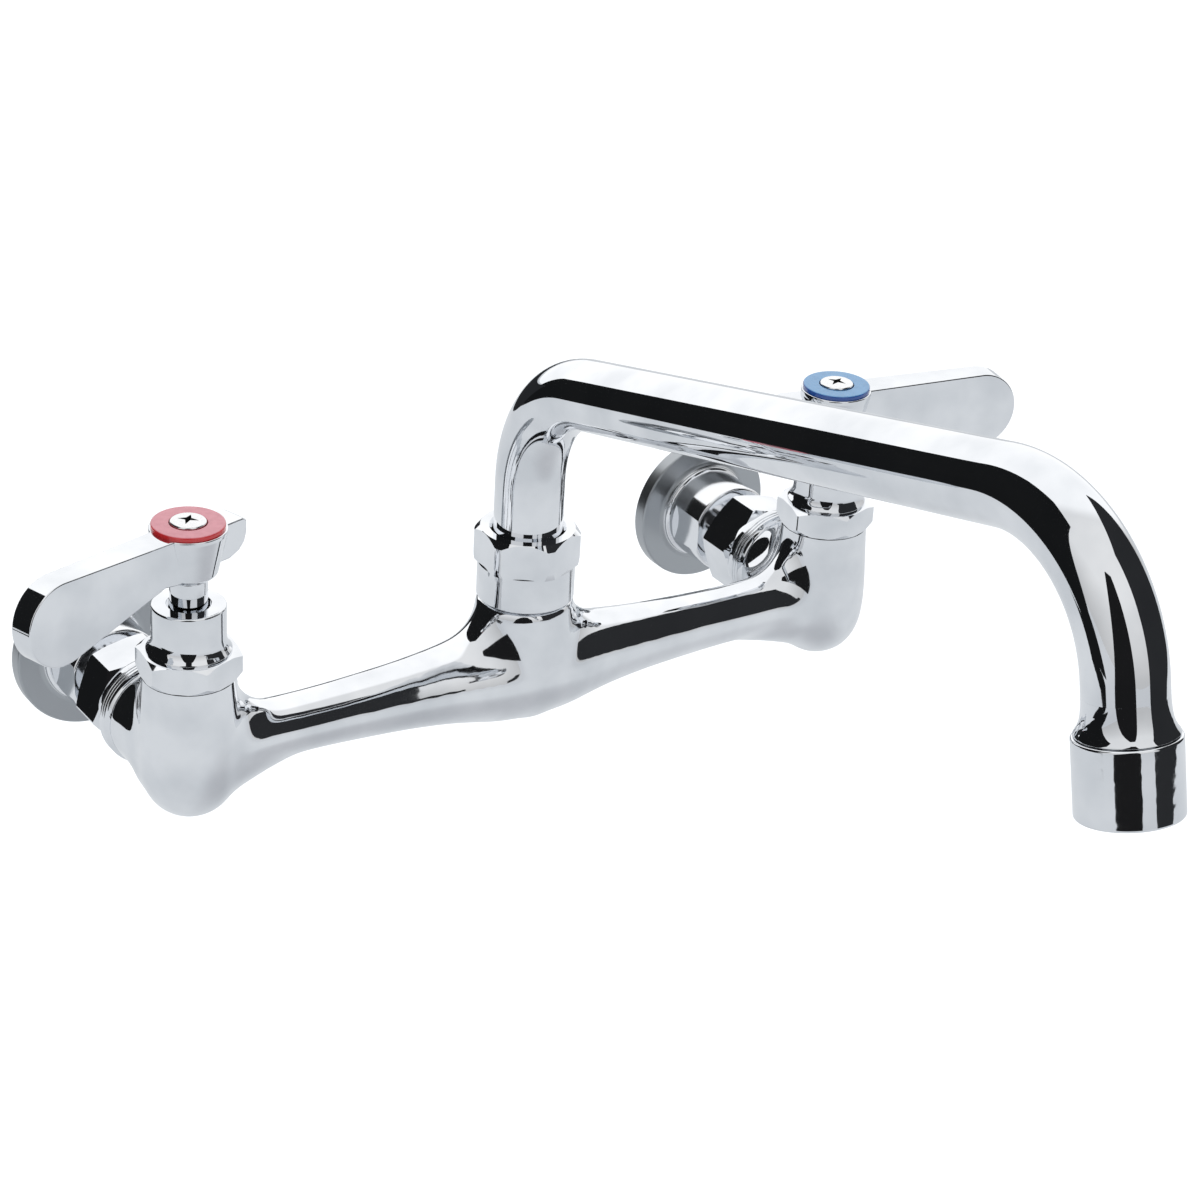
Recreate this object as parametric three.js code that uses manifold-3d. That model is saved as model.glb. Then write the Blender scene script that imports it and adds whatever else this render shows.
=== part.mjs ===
// A wall-mounted two-handle commercial sink faucet with a swinging gooseneck-style spout,
// on standard 8 inch inlet centres. Sizes are in millimetres and angles in degrees.
// The origin is on the wall, midway between the two inlets. +Y goes into the wall, the spout
// reaches out along -Y, +X runs along the body from the hot side to the cold side, +Z is up.

import * as THREE from "three";
import { mergeVertices } from "three/addons/utils/BufferGeometryUtils.js";
import ManifoldModule from "manifold-3d";

// ---------------------------------------------------------------------------------------
// Driving dimensions
// ---------------------------------------------------------------------------------------

// Fits shared by the whole faucet
const seatGap = 0.3; // between two pieces that rest on each other
const slideFit = 0.3; // on the radius, between a shaft or collar and its bore
const spigotFit = 0.55; // on the radius, between the tube's bore and what is brazed into it
const ringPlay = 0.1; // around an O-ring or a retaining ring in its groove
const grooveSpare = 0.7; // how much wider a groove is than its O-ring

// Layout
const inletCentres = 203.2; // 8 inches between the two supplies
const valveSetback = 64; // wall to the axes of the valves and of the spout
const hotSide = -inletCentres / 2;
const coldSide = inletCentres / 2;

// Wall flange: female pipe socket behind, male union thread in front
const flangeRadius = 22;
const flangeThickness = 4.2;
const flangeFillet = 2.6;
const flangeNeckRadius = 13.5;
const flangeNeckEnd = 20; // from the wall
const flangeWrenchFlats = 25;
const pipeSocketRadius = 10.4; // 1/2 inch pipe thread, at its minor diameter
const pipeSocketDepth = 14;
const flangeWaterwayRadius = 6.8;
const unionThreadRadius = 10.3;
const unionThreadEnd = 33; // from the wall

// Union between the flange and the body
const inletWasherThickness = 2;
const unionNutAcrossFlats = 26.5;
const unionNutBack = 25; // from the wall
const unionNutHexLength = 12.5;
const unionNutCollarRadius = 14.2;
const unionNutCollarLength = 3;
const unionNutLip = 2.35;
const hotUnionNutTurn = 12;
const coldUnionNutTurn = 46;
const tailRadius = 8.6; // shank of the body that passes through the nut's lip
const tailGrooveRadius = 7.4;
const retainingRingThickness = 1.2;
const retainingRingOpening = 50; // degrees left open in the split ring

// Body casting
const bossRadius = 15; // fine beads behind each valve tower
const bossBeadWidth = 0.75;
const bossGroove = 0.35;
const inletNeckRadius = 14;
const inletBoreRadius = 5.2;
const armAxisHeight = -0.7;
const towerRadius = 13.3;
const towerNeckRadius = 12.3;
const towerBottom = -18.5;
const towerTipRound = 6.5;
const towerTipReach = 2.2; // from the tower's axis to the centre of its tip's rounding
const towerConeHeight = 8; // from the tip to where the cone meets the barrel's shoulder
const towerShoulder = 2; // how far the shoulder stands inside the barrel
const towerTop = 21.5;
const hubBottom = -15.4;
const hubRadius = 14.7;
const hubBarrelBottom = -3.4;
const hubBarrelTop = 10;
const hubNeckRadius = 13.3;
const hubShoulder = 23.7; // where the spout nut stops
const hubSpigotRadius = 11.3;
const hubSpigotTop = 33;
const hubBoreRadius = 9.2;
const hubBoreFloor = -7;
const crossWaterwayRadius = 3.8;
const supplyWaterwayRadius = 2.8;
const supplyWaterwayHeight = -9.6;

// Ceramic quarter-turn cartridge, one in each tower
const cartridgeRadius = 8.9;
const cartridgeWindowWidth = 7;
const cartridgeBoreRadius = 7.6;
const cartridgeBottom = -4;
const valveSeatHeight = -5;
const valvePortRadius = 4.2;
const valvePortDepth = 8;
const cartridgeFlangeRadius = 10.5;
const cartridgeFlangeSeat = 11; // shoulder in the tower
const cartridgeFlangeThickness = 1.7;
const cartridgeNeckRadius = 8.3;
const cartridgeNeckTop = 24;
const cartridgeRoof = 14; // underside of the shoulder above the stem's foot
const discRadius = 7.2;
const fixedDiscThickness = 3.6;
const movingDiscThickness = 3.8;
const sealRise = 0.7; // how far the seal stands out under the cartridge
const sealHeight = 5.6;
const discPortOffset = 3.8;
const discPortRadius = 2;
const stemFootHeight = 3.6;
const stemRadius = 4.95;
const stemTongueWidth = 3;
const stemTongueHeight = 1.4;
const stemSplineRadius = 4;
const stemGrooveDepth = 1.3;
const stemGrooveHeight = 19; // inside the cartridge's neck
const stemORingThickness = 1.3;

// Bonnet that holds the cartridge down
const bonnetThreadRadius = 10.5;
const bonnetHexAcrossFlats = 24.5;
const bonnetHexHeight = 7.2;
const hotBonnetTurn = 13.5;
const coldBonnetTurn = 17;
const bonnetFlareRadius = 11.2;
const bonnetFlareHeight = 3.5;
const bonnetRadius = 9.72;
const bonnetTop = 42.1;
const bonnetRecessRadius = 5.9;
const bonnetRecessDepth = 1.2;
const bonnetRoofThickness = 3.2;
const guideBushHeight = 5;

// Lever handle
const handleHubBottom = 49.8;
const handleHubTop = 63.7;
const handleHubTopRadius = 9.85;
const handleHubBottomRadius = 7.5;
const handleHubFootRadius = 5.9;
const handleSocketTop = 60.3;
const handleScrewHoleRadius = 2.3;
const leverTipRadius = 11.4;
const leverTipReach = 44.7; // valve axis to the centre of the round end
const leverTipHeight = 53.5;
const leverRootTop = 63.6;
const leverRootBottom = 51.9;
const leverRootReach = 12; // where the lever's lower edge leaves the hub
const leverRootWidth = 9.2;
const leverTipWidth = 6.7;
const tabReach = 17;
const tabWidth = 7.8;
const tabTop = 62.6;
const tabBottom = 52.2;
const hotHandleTurn = 18; // how far each closed lever stands forward of the body's line
const coldHandleTurn = 12.6;
const indexRadius = 9.57;
const indexHoleRadius = 4.95;
const indexThickness = 1;
const screwHeadRadius = 4.62;
const screwHeadHeight = 2.1;
const screwShankRadius = 1.9;
const screwLength = 11;
const crossRecessWidth = 0.9;
const crossRecessLength = 4.6;
const crossRecessDepth = 1.1;

// Spout
const spoutNutSkirtRadius = 13.4;
const spoutNutSkirtTop = 32.8;
const spoutNutAcrossFlats = 25;
const spoutNutTop = 42.2;
const spoutNutTurn = 18.5;
const swivelWasherThickness = 1;
const tailpieceRadius = 8.9;
const tailpieceBottom = 6;
const tailpieceBoreRadius = 6.4;
const tailpieceFlangeRadius = 11;
const tailpieceFlangeThickness = 1.6;
const tailpieceSpigotLength = 7;
const tailpieceGrooves = [12, 20.5]; // heights of the two O-ring grooves
const tailpieceGrooveDepth = 1.5;
const tailpieceORingThickness = 1.4;
const tubeRadius = 9.45;
const tubeWall = 1.2;
const riserTop = 56; // where the first bend starts
const firstBendRadius = 36.4;
const runRise = 14.8; // how steeply the long run climbs
const runLength = 167.6;
const lastBendRadius = 35.8;
const outletTilt = 13.7; // outlet axis from the vertical, leaning out
const dropLength = 7.4; // straight tube below the last bend

// Outlet
const ferruleFlareHeight = 4.5;
const ferruleFlareRadius = 11.3;
const ferruleSpigotLength = 5;
const ferruleThreadRadius = 10.5;
const ferruleThreadLength = 7;
const ferruleBoreRadius = 6.4;
const housingRadius = 11.98;
const housingLength = 17.9;
const housingWall = 1.15;
const housingLipRadius = 9.4;
const housingLipThickness = 1.2;
const aeratorGasketThickness = 1.5;
const aeratorFloorThickness = 1.6;
const aeratorCupWall = 1.2;
const aeratorJetRadius = 0.9;
const screenThickness = 0.9;
const screenPitch = 4.2;
const screenBar = 1.4;
const screenRim = 1.9;

// Facets of round pieces
const wide = 18;
const medium = 16;
const small = 12;
const discPortSides = 8;
const oRingSides = 6;
const jetSides = 6;

// ---------------------------------------------------------------------------------------
// Solids
// ---------------------------------------------------------------------------------------

const wasm = await ManifoldModule();
wasm.setup();

// Turns a closed three.js geometry into a solid: shared corners merged, collapsed triangles
// dropped, faces outwards.
function solid(geometry) {
  const bare = geometry.clone();
  bare.deleteAttribute("normal");
  bare.deleteAttribute("uv");
  const merged = mergeVertices(bare, 1e-4);
  const index = merged.index.array;
  const corners = [];
  for (let i = 0; i < index.length; i += 3) {
    const [a, b, c] = [index[i], index[i + 1], index[i + 2]];
    if (a !== b && b !== c && c !== a) corners.push(a, b, c);
  }
  const made = fromTriangles(merged.attributes.position.array, corners);
  if (made.volume() > 0) return made;
  return fromTriangles(merged.attributes.position.array, corners.reverse());
}

function fromTriangles(positions, corners) {
  return new wasm.Manifold(new wasm.Mesh({
    numProp: 3,
    vertProperties: new Float32Array(positions),
    triVerts: new Uint32Array(corners),
  }));
}

function toGeometry(made) {
  const mesh = made.getMesh();
  const geometry = new THREE.BufferGeometry();
  geometry.setAttribute("position", new THREE.BufferAttribute(mesh.vertProperties, 3));
  geometry.setIndex(new THREE.BufferAttribute(mesh.triVerts, 1));
  return geometry;
}

// Revolves [radius, height] points about Z.
function turned(profile, segments) {
  const points = profile.map(([radius, height]) => new THREE.Vector2(radius, height));
  return solid(new THREE.LatheGeometry(points, segments).rotateX(Math.PI / 2));
}

// A plain turned disc, rod or ring between two heights.
function rod(radius, bottom, top, segments) {
  return turned([[0, bottom], [radius, bottom], [radius, top], [0, top]], segments);
}

function ring(innerRadius, outerRadius, bottom, top, segments) {
  return turned([
    [innerRadius, bottom], [outerRadius, bottom], [outerRadius, top],
    [innerRadius, top], [innerRadius, bottom],
  ], segments);
}

// An O-ring with a round section.
function oRing(innerRadius, thickness, height, segments) {
  const centreRadius = innerRadius + thickness / 2;
  const torus = new THREE.TorusGeometry(centreRadius, thickness / 2, oRingSides, segments);
  return solid(torus.translate(0, 0, height));
}

// A flat outline in X and Y, raised along Z.
function raised(outline, bottom, height) {
  const shape = new THREE.Shape(outline.map(([x, y]) => new THREE.Vector2(x, y)));
  const geometry = new THREE.ExtrudeGeometry(shape, { depth: height, bevelEnabled: false });
  return solid(geometry.translate(0, 0, bottom));
}

function polygon(sides, radius, turn) {
  const corner = (i) => THREE.MathUtils.degToRad(turn) + (i * 2 * Math.PI) / sides;
  return Array.from({ length: sides }, (_, i) => [
    radius * Math.cos(corner(i)), radius * Math.sin(corner(i)),
  ]);
}

// A hexagonal prism whose corners are chamfered at 30 degrees, at the top and, if asked,
// at the bottom too.
function hexagon(acrossFlats, bottom, top, turn, chamferBottom) {
  const cornerRadius = acrossFlats / Math.sqrt(3);
  const rimRadius = acrossFlats / 2 - 0.1;
  const chamfer = (cornerRadius - rimRadius) * Math.tan(Math.PI / 6);
  const lowRadius = chamferBottom ? rimRadius : cornerRadius;
  const envelope = turned([
    [0, bottom], [lowRadius, bottom], [cornerRadius + 0.01, bottom + chamfer],
    [cornerRadius + 0.01, top - chamfer], [rimRadius, top], [0, top],
  ], small).rotate([0, 0, turn]);
  return raised(polygon(6, cornerRadius, turn), bottom, top - bottom).intersect(envelope);
}

function box(width, depth, height, x, y, z) {
  return solid(new THREE.BoxGeometry(width, depth, height).translate(x, y, z));
}

// A drilled hole's solid, straight from one point to another.
function drill(from, to, radius, segments) {
  const axis = new THREE.Vector3().subVectors(to, from);
  const geometry = new THREE.CylinderGeometry(radius, radius, axis.length(), segments);
  geometry.translate(0, axis.length() / 2, 0);
  const turn = new THREE.Quaternion().setFromUnitVectors(
    new THREE.Vector3(0, 1, 0), axis.clone().normalize(),
  );
  return solid(geometry.applyQuaternion(turn).translate(from.x, from.y, from.z));
}

function union(...solids) {
  return solids.reduce((whole, next) => whole.add(next));
}

function cut(whole, ...tools) {
  return tools.reduce((left, tool) => left.subtract(tool), whole);
}

// Points along a quarter or other stretch of a circle, as [across, up] pairs.
function arc(centre, radius, fromAngle, toAngle, steps) {
  return Array.from({ length: steps + 1 }, (_, i) => {
    const angle = THREE.MathUtils.degToRad(fromAngle + ((toAngle - fromAngle) * i) / steps);
    return [centre[0] + radius * Math.cos(angle), centre[1] + radius * Math.sin(angle)];
  });
}

// ---------------------------------------------------------------------------------------
// Finishes
// ---------------------------------------------------------------------------------------

const finish = (color, roughness, metalness) =>
  new THREE.MeshStandardMaterial({ color, roughness, metalness });
const chrome = finish("#dfe3e8", 0.08, 1);
const bareBrass = finish("#c9a55c", 0.35, 1);
const stainless = finish("#b9bcc0", 0.3, 1);
const hotRed = finish("#d6606c", 0.35, 0);
const coldBlue = finish("#6f93cc", 0.35, 0);
const rubber = finish("#1d1e20", 0.8, 0);
const acetal = finish("#e9e7e0", 0.45, 0);
const ceramic = finish("#f1efe9", 0.25, 0);

const faucet = new THREE.Group();

function addPiece(group, name, made, material) {
  const mesh = new THREE.Mesh(toGeometry(made), material.clone());
  mesh.name = name;
  group.add(mesh);
}

// ---------------------------------------------------------------------------------------
// Body casting: the two valve towers, the arms that meet in the spout hub, and the two
// inlet shanks, with its waterways drilled through
// ---------------------------------------------------------------------------------------

// Distances from the wall along the union, from the flange's thread to the body's boss
const tailEnd = unionThreadEnd + seatGap + inletWasherThickness + seatGap;
const unionNutHexFront = unionNutBack + unionNutHexLength;
const unionNutFront = unionNutHexFront + unionNutCollarLength;
const unionNutLipBack = unionNutFront - unionNutLip;
const tailGrooveFront = unionNutLipBack - seatGap + ringPlay;
const tailGrooveBack = tailGrooveFront - retainingRingThickness - 2 * ringPlay;
const bossBack = unionNutFront + seatGap;

// One sweep of the two arms, turned about the body's long axis: fullest at the hub and at
// the towers, and slimmest between them.
function armSweep() {
  const half = inletCentres / 2;
  const stations = [
    [0, 14.8], [0.09, 14.5], [0.16, 13.4], [0.24, 11.6], [0.32, 10.2], [0.42, 9.2],
    [0.54, 8.4], [0.64, 8], [0.73, 8.4], [0.81, 9.8], [0.9, 12], [1, 12.8],
  ];
  const spline = new THREE.SplineCurve([
    ...stations.slice(1).reverse().map(([along, radius]) => new THREE.Vector2(radius, -along * half)),
    ...stations.map(([along, radius]) => new THREE.Vector2(radius, along * half)),
  ]);
  const profile = spline.getPoints(16).map((point) => [point.x, point.y]);
  return turned([[0, -half], ...profile, [0, half]], wide)
    .rotate([0, 90, 0])
    .translate([0, 0, armAxisHeight]);
}

function towerBlank() {
  return turned([
    [0, towerBottom],
    ...arc([towerTipReach, towerBottom + towerTipRound], towerTipRound, -90, -38, 2),
    [towerRadius - towerShoulder, towerBottom + towerConeHeight],
    [towerRadius - towerShoulder / 6, towerBottom + 1.6 * towerConeHeight],
    [towerRadius, 0], [(2 * towerRadius + towerNeckRadius) / 3, towerTop / 2],
    [towerNeckRadius, towerTop], [0, towerTop],
  ], wide);
}

function hubBlank() {
  return turned([
    [0, hubBottom], [hubRadius * 0.6, hubBottom + 0.7], [hubRadius * 0.9, hubBottom + 5],
    [hubRadius, hubBarrelBottom], [hubRadius - 0.3, hubBarrelTop], [hubNeckRadius, hubShoulder],
    [hubSpigotRadius, hubShoulder], [hubSpigotRadius, hubSpigotTop], [0, hubSpigotTop],
  ], wide);
}

// The inlet shank, turned about Z with heights as distances from the wall: the tail with
// its ring groove, then the beaded boss, then the neck that runs into the tower.
function shankBlank() {
  const beadPitch = bossBeadWidth + bossGroove;
  const beads = [0, 1, 2].flatMap((i) => [
    [bossRadius, bossBack + i * beadPitch],
    [bossRadius, bossBack + i * beadPitch + bossBeadWidth],
    [bossRadius - bossGroove, bossBack + (i + 1) * beadPitch - bossGroove / 2],
  ]);
  const tail = turned([
    [0, tailEnd], [tailRadius, tailEnd], [tailRadius, tailGrooveBack],
    [tailGrooveRadius, tailGrooveBack], [tailGrooveRadius, tailGrooveFront],
    [tailRadius, tailGrooveFront], [tailRadius, bossBack + bossBeadWidth],
    [0, bossBack + bossBeadWidth],
  ], small);
  const boss = turned([
    [0, bossBack], ...beads,
    [inletNeckRadius - 0.6, valveSetback - towerRadius + 3], [0, valveSetback],
  ], wide);
  return tail.add(boss).rotate([90, 0, 0]);
}

function towerBores() {
  const portFloor = valveSeatHeight - valvePortDepth;
  return turned([
    [0, portFloor], [valvePortRadius, portFloor], [valvePortRadius, valveSeatHeight],
    [cartridgeRadius + slideFit, valveSeatHeight], [cartridgeRadius + slideFit, cartridgeFlangeSeat],
    [cartridgeFlangeRadius + slideFit, cartridgeFlangeSeat],
    [cartridgeFlangeRadius + slideFit, towerTop + 1], [0, towerTop + 1],
  ], medium);
}

// Supply water goes in along the shank, down in front of the seat and up under the cartridge.
function supplyDrill(x) {
  const boreEnd = -(valveSetback - towerRadius - 0.6);
  const turnPoint = new THREE.Vector3(x, boreEnd - 2, supplyWaterwayHeight);
  return union(
    drill(new THREE.Vector3(x, 0, 0), new THREE.Vector3(x, boreEnd + 3, 0), inletBoreRadius, small),
    drill(new THREE.Vector3(x, boreEnd + 6, 0), turnPoint, supplyWaterwayRadius, small),
    drill(
      new THREE.Vector3(x, boreEnd - 0.8, supplyWaterwayHeight),
      new THREE.Vector3(x, -valveSetback, supplyWaterwayHeight), supplyWaterwayRadius, small,
    ),
  );
}

function bodyCasting() {
  const towers = [hotSide, coldSide].map((x) => towerBlank().translate([x, -valveSetback, 0]));
  const shanks = [hotSide, coldSide].map((x) => shankBlank().translate([x, 0, 0]));
  const bores = [hotSide, coldSide].map((x) => towerBores().translate([x, -valveSetback, 0]));
  const blank = union(
    armSweep().translate([0, -valveSetback, 0]),
    hubBlank().translate([0, -valveSetback, 0]),
    ...towers, ...shanks,
  );
  const hubBore = rod(hubBoreRadius, hubBoreFloor, hubSpigotTop + 1, medium);
  const crossWaterway = drill(
    new THREE.Vector3(hotSide, -valveSetback, armAxisHeight),
    new THREE.Vector3(coldSide, -valveSetback, armAxisHeight), crossWaterwayRadius, small,
  );
  return cut(
    blank, ...bores, hubBore.translate([0, -valveSetback, 0]), crossWaterway,
    supplyDrill(hotSide), supplyDrill(coldSide),
  );
}

addPiece(faucet, "body_casting", bodyCasting(), chrome);

// ---------------------------------------------------------------------------------------
// Inlets: wall flange, washer, split retaining ring and coupling nut. Each is turned about
// Z, with heights as distances from the wall, and laid along -Y by its group.
// ---------------------------------------------------------------------------------------

function wallFlange() {
  const filletRing = arc(
    [flangeNeckRadius + flangeFillet, flangeThickness + flangeFillet], flangeFillet, 270, 180, 3,
  );
  const blank = turned([
    [0, 0], [flangeRadius, 0], [flangeRadius, flangeThickness - 0.8],
    [flangeRadius - 0.8, flangeThickness], ...filletRing,
    [flangeNeckRadius, flangeNeckEnd - 1], [flangeNeckRadius - 1, flangeNeckEnd],
    [unionThreadRadius, flangeNeckEnd], [unionThreadRadius, unionThreadEnd], [0, unionThreadEnd],
  ], wide);
  const flatDepth = flangeNeckRadius;
  const flatLength = flangeNeckEnd - flangeThickness - flangeFillet + 1;
  const flats = [-1, 1].map((side) => box(
    flatDepth, 2 * flangeNeckRadius, flatLength,
    side * (flangeWrenchFlats / 2 + flatDepth / 2), 0, flangeNeckEnd - flatLength / 2 + 0.5,
  ));
  const socket = turned([
    [0, -1], [pipeSocketRadius + 0.5, -1], [pipeSocketRadius, pipeSocketDepth],
    [flangeWaterwayRadius, pipeSocketDepth + 2], [flangeWaterwayRadius, unionThreadEnd + 1],
    [0, unionThreadEnd + 1],
  ], medium);
  return cut(blank, socket, ...flats);
}

function unionNut(turn) {
  const blank = union(
    hexagon(unionNutAcrossFlats, unionNutBack, unionNutHexFront, turn, true),
    turned([
      [0, unionNutHexFront - 1], [unionNutAcrossFlats / 2, unionNutHexFront - 1],
      [unionNutCollarRadius - 0.6, unionNutHexFront], [unionNutCollarRadius - 0.4, unionNutFront],
      [0, unionNutFront],
    ], wide),
  );
  const bore = turned([
    [0, unionNutBack - 1], [unionThreadRadius + slideFit, unionNutBack - 1],
    [unionThreadRadius + slideFit, unionNutLipBack], [tailRadius + slideFit, unionNutLipBack],
    [tailRadius + slideFit, unionNutFront + 1], [0, unionNutFront + 1],
  ], medium);
  return blank.subtract(bore);
}

// The split ring snaps into the tail's groove and holds the nut on the body.
function retainingRing() {
  const open = retainingRingOpening / 2;
  const outline = [
    ...arc([0, 0], unionThreadRadius - 0.2, open, 360 - open, small),
    ...arc([0, 0], tailGrooveRadius + slideFit, 360 - open, open, small),
  ];
  return raised(outline, tailGrooveBack + ringPlay, retainingRingThickness);
}

function addInlet(side, x, nutTurn) {
  const inlet = new THREE.Group();
  inlet.position.set(x, 0, 0);
  inlet.rotation.x = Math.PI / 2;
  const washer = ring(
    flangeWaterwayRadius, unionThreadRadius - 0.2,
    unionThreadEnd + seatGap, tailEnd - seatGap, small,
  );
  addPiece(inlet, `${side}_wall_flange`, wallFlange(), chrome);
  addPiece(inlet, `${side}_inlet_washer`, washer, rubber);
  addPiece(inlet, `${side}_retaining_ring`, retainingRing(), stainless);
  addPiece(inlet, `${side}_coupling_nut`, unionNut(nutTurn), chrome);
  faucet.add(inlet);
}

addInlet("hot", hotSide, hotUnionNutTurn);
addInlet("cold", coldSide, coldUnionNutTurn);

// ---------------------------------------------------------------------------------------
// Valves: cartridge, bonnet and lever handle, turned about the tower's axis
// ---------------------------------------------------------------------------------------

// Heights up the cartridge, from the seal to the stem's foot
const sealTop = cartridgeBottom - sealRise + sealHeight;
const fixedDiscBottom = sealTop + seatGap;
const fixedDiscTop = fixedDiscBottom + fixedDiscThickness;
const movingDiscBottom = fixedDiscTop + seatGap;
const movingDiscTop = movingDiscBottom + movingDiscThickness;
const stemFootTop = cartridgeRoof - seatGap;
const stemFootBottom = stemFootTop - stemFootHeight;
const flangeBottom = cartridgeFlangeSeat + seatGap;
const flangeTop = flangeBottom + cartridgeFlangeThickness;
const bonnetHexBottom = towerTop + seatGap;
const bonnetHexTop = bonnetHexBottom + bonnetHexHeight;

function cartridgeBody() {
  const blank = turned([
    [0, cartridgeBottom], [cartridgeRadius, cartridgeBottom], [cartridgeRadius, flangeBottom],
    [cartridgeFlangeRadius, flangeBottom], [cartridgeFlangeRadius, flangeTop],
    [cartridgeNeckRadius, flangeTop], [cartridgeNeckRadius, cartridgeNeckTop],
    [0, cartridgeNeckTop],
  ], medium);
  const bore = turned([
    [0, cartridgeBottom - 1], [cartridgeBoreRadius, cartridgeBottom - 1],
    [cartridgeBoreRadius, cartridgeRoof], [stemRadius + slideFit, cartridgeRoof],
    [stemRadius + slideFit, cartridgeNeckTop + 1], [0, cartridgeNeckTop + 1],
  ], medium);
  const windowHeight = movingDiscThickness + 0.6;
  const windows = box(
    2 * cartridgeRadius + 2, cartridgeWindowWidth, windowHeight,
    0, 0, movingDiscBottom + windowHeight / 2,
  );
  return cut(blank, bore, windows);
}

// A ceramic disc with two ports, and two drive slots if it turns with the stem.
function ceramicDisc(bottom, top, driven) {
  const ports = [-1, 1].map((side) =>
    rod(discPortRadius, bottom - 1, top + 1, discPortSides).translate([0, side * discPortOffset, 0]));
  const blank = rod(discRadius, bottom, top, small);
  if (!driven) return cut(blank, ...ports);
  const slotDepth = stemTongueHeight + 0.2;
  const slot = box(
    2 * discRadius + 1, stemTongueWidth + 2 * slideFit, slotDepth, 0, 0, top - slotDepth / 2 + 0.001,
  );
  return cut(blank, ...ports, slot);
}

function stem() {
  const grooveRadius = stemRadius - stemGrooveDepth;
  const halfGroove = (stemORingThickness + grooveSpare) / 2;
  const shaft = turned([
    [0, stemFootBottom], [discRadius, stemFootBottom], [discRadius, stemFootTop],
    [stemRadius, stemFootTop], [stemRadius, stemGrooveHeight - halfGroove],
    [grooveRadius, stemGrooveHeight - halfGroove], [grooveRadius, stemGrooveHeight + halfGroove],
    [stemRadius, stemGrooveHeight + halfGroove], [stemRadius, handleHubBottom - seatGap],
    [stemSplineRadius, handleHubBottom - seatGap], [stemSplineRadius, handleSocketTop - seatGap],
    [0, handleSocketTop - seatGap],
  ], small);
  const tongueBottom = movingDiscTop - stemTongueHeight;
  const tongue = box(
    2 * discRadius - 1, stemTongueWidth, stemFootBottom - tongueBottom + 0.5,
    0, 0, (stemFootBottom + tongueBottom + 0.5) / 2,
  );
  const screwHole = rod(
    screwShankRadius + slideFit, handleHubTop - screwLength, handleSocketTop + 1, small,
  );
  return shaft.add(tongue).subtract(screwHole);
}

function bonnet(hexTurn) {
  const upper = turned([
    [0, bonnetHexTop - 1], [bonnetFlareRadius, bonnetHexTop - 1],
    [bonnetFlareRadius, bonnetHexTop + 0.3],
    [bonnetRadius + 0.4, bonnetHexTop + bonnetFlareHeight * 0.55],
    [bonnetRadius, bonnetHexTop + bonnetFlareHeight], [bonnetRadius, bonnetTop - 0.4],
    [bonnetRadius - 0.4, bonnetTop], [0, bonnetTop],
  ], wide);
  const skirt = rod(bonnetThreadRadius, flangeTop + seatGap, bonnetHexBottom + 1, medium);
  const hex = hexagon(bonnetHexAcrossFlats, bonnetHexBottom, bonnetHexTop, hexTurn, false);
  const bore = turned([
    [0, flangeTop], [cartridgeNeckRadius + slideFit, flangeTop],
    [cartridgeNeckRadius + slideFit, bonnetTop - bonnetRoofThickness],
    [stemRadius + slideFit, bonnetTop - bonnetRoofThickness],
    [stemRadius + slideFit, bonnetTop - bonnetRecessDepth],
    [bonnetRecessRadius, bonnetTop - bonnetRecessDepth], [bonnetRecessRadius, bonnetTop + 1],
    [0, bonnetTop + 1],
  ], medium);
  return cut(union(upper, hex, skirt), bore);
}

// The lever's side view, in distance from the valve axis and height: a bar that deepens
// towards its round end. Its two long edges run tangent to the round end.
function leverSide() {
  const centre = [leverTipReach, leverTipHeight];
  const tangentAngle = (from, side) => {
    const across = leverTipReach - from[0];
    const up = leverTipHeight - from[1];
    const lean = Math.atan2(up, across) + side * Math.asin(leverTipRadius / Math.hypot(across, up));
    return THREE.MathUtils.radToDeg(lean) + side * 90;
  };
  const topAngle = tangentAngle([0, leverRootTop], 1);
  const bottomAngle = tangentAngle([leverRootReach, leverRootBottom], -1);
  return [
    [0, handleHubBottom + 1.2], [leverRootReach * 0.7, leverRootBottom - 0.6],
    [leverRootReach, leverRootBottom],
    ...arc(centre, leverTipRadius, bottomAngle, topAngle, 16), [0, leverRootTop],
  ];
}

function tabSide() {
  return [
    [0, tabBottom], [0, tabTop + 0.3], [-0.65 * tabReach, tabTop], [-tabReach, tabTop - 1.3],
    [-tabReach, (tabTop + tabBottom) / 2], [-0.94 * tabReach, tabBottom + 2.2],
    [-0.6 * tabReach, tabBottom],
  ];
}

// Stands a side view up: its outline lies in X and Z, and its width is along Y.
function upright(outline, width) {
  return raised(outline, -width / 2, width).rotate([90, 0, 0]);
}

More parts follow.
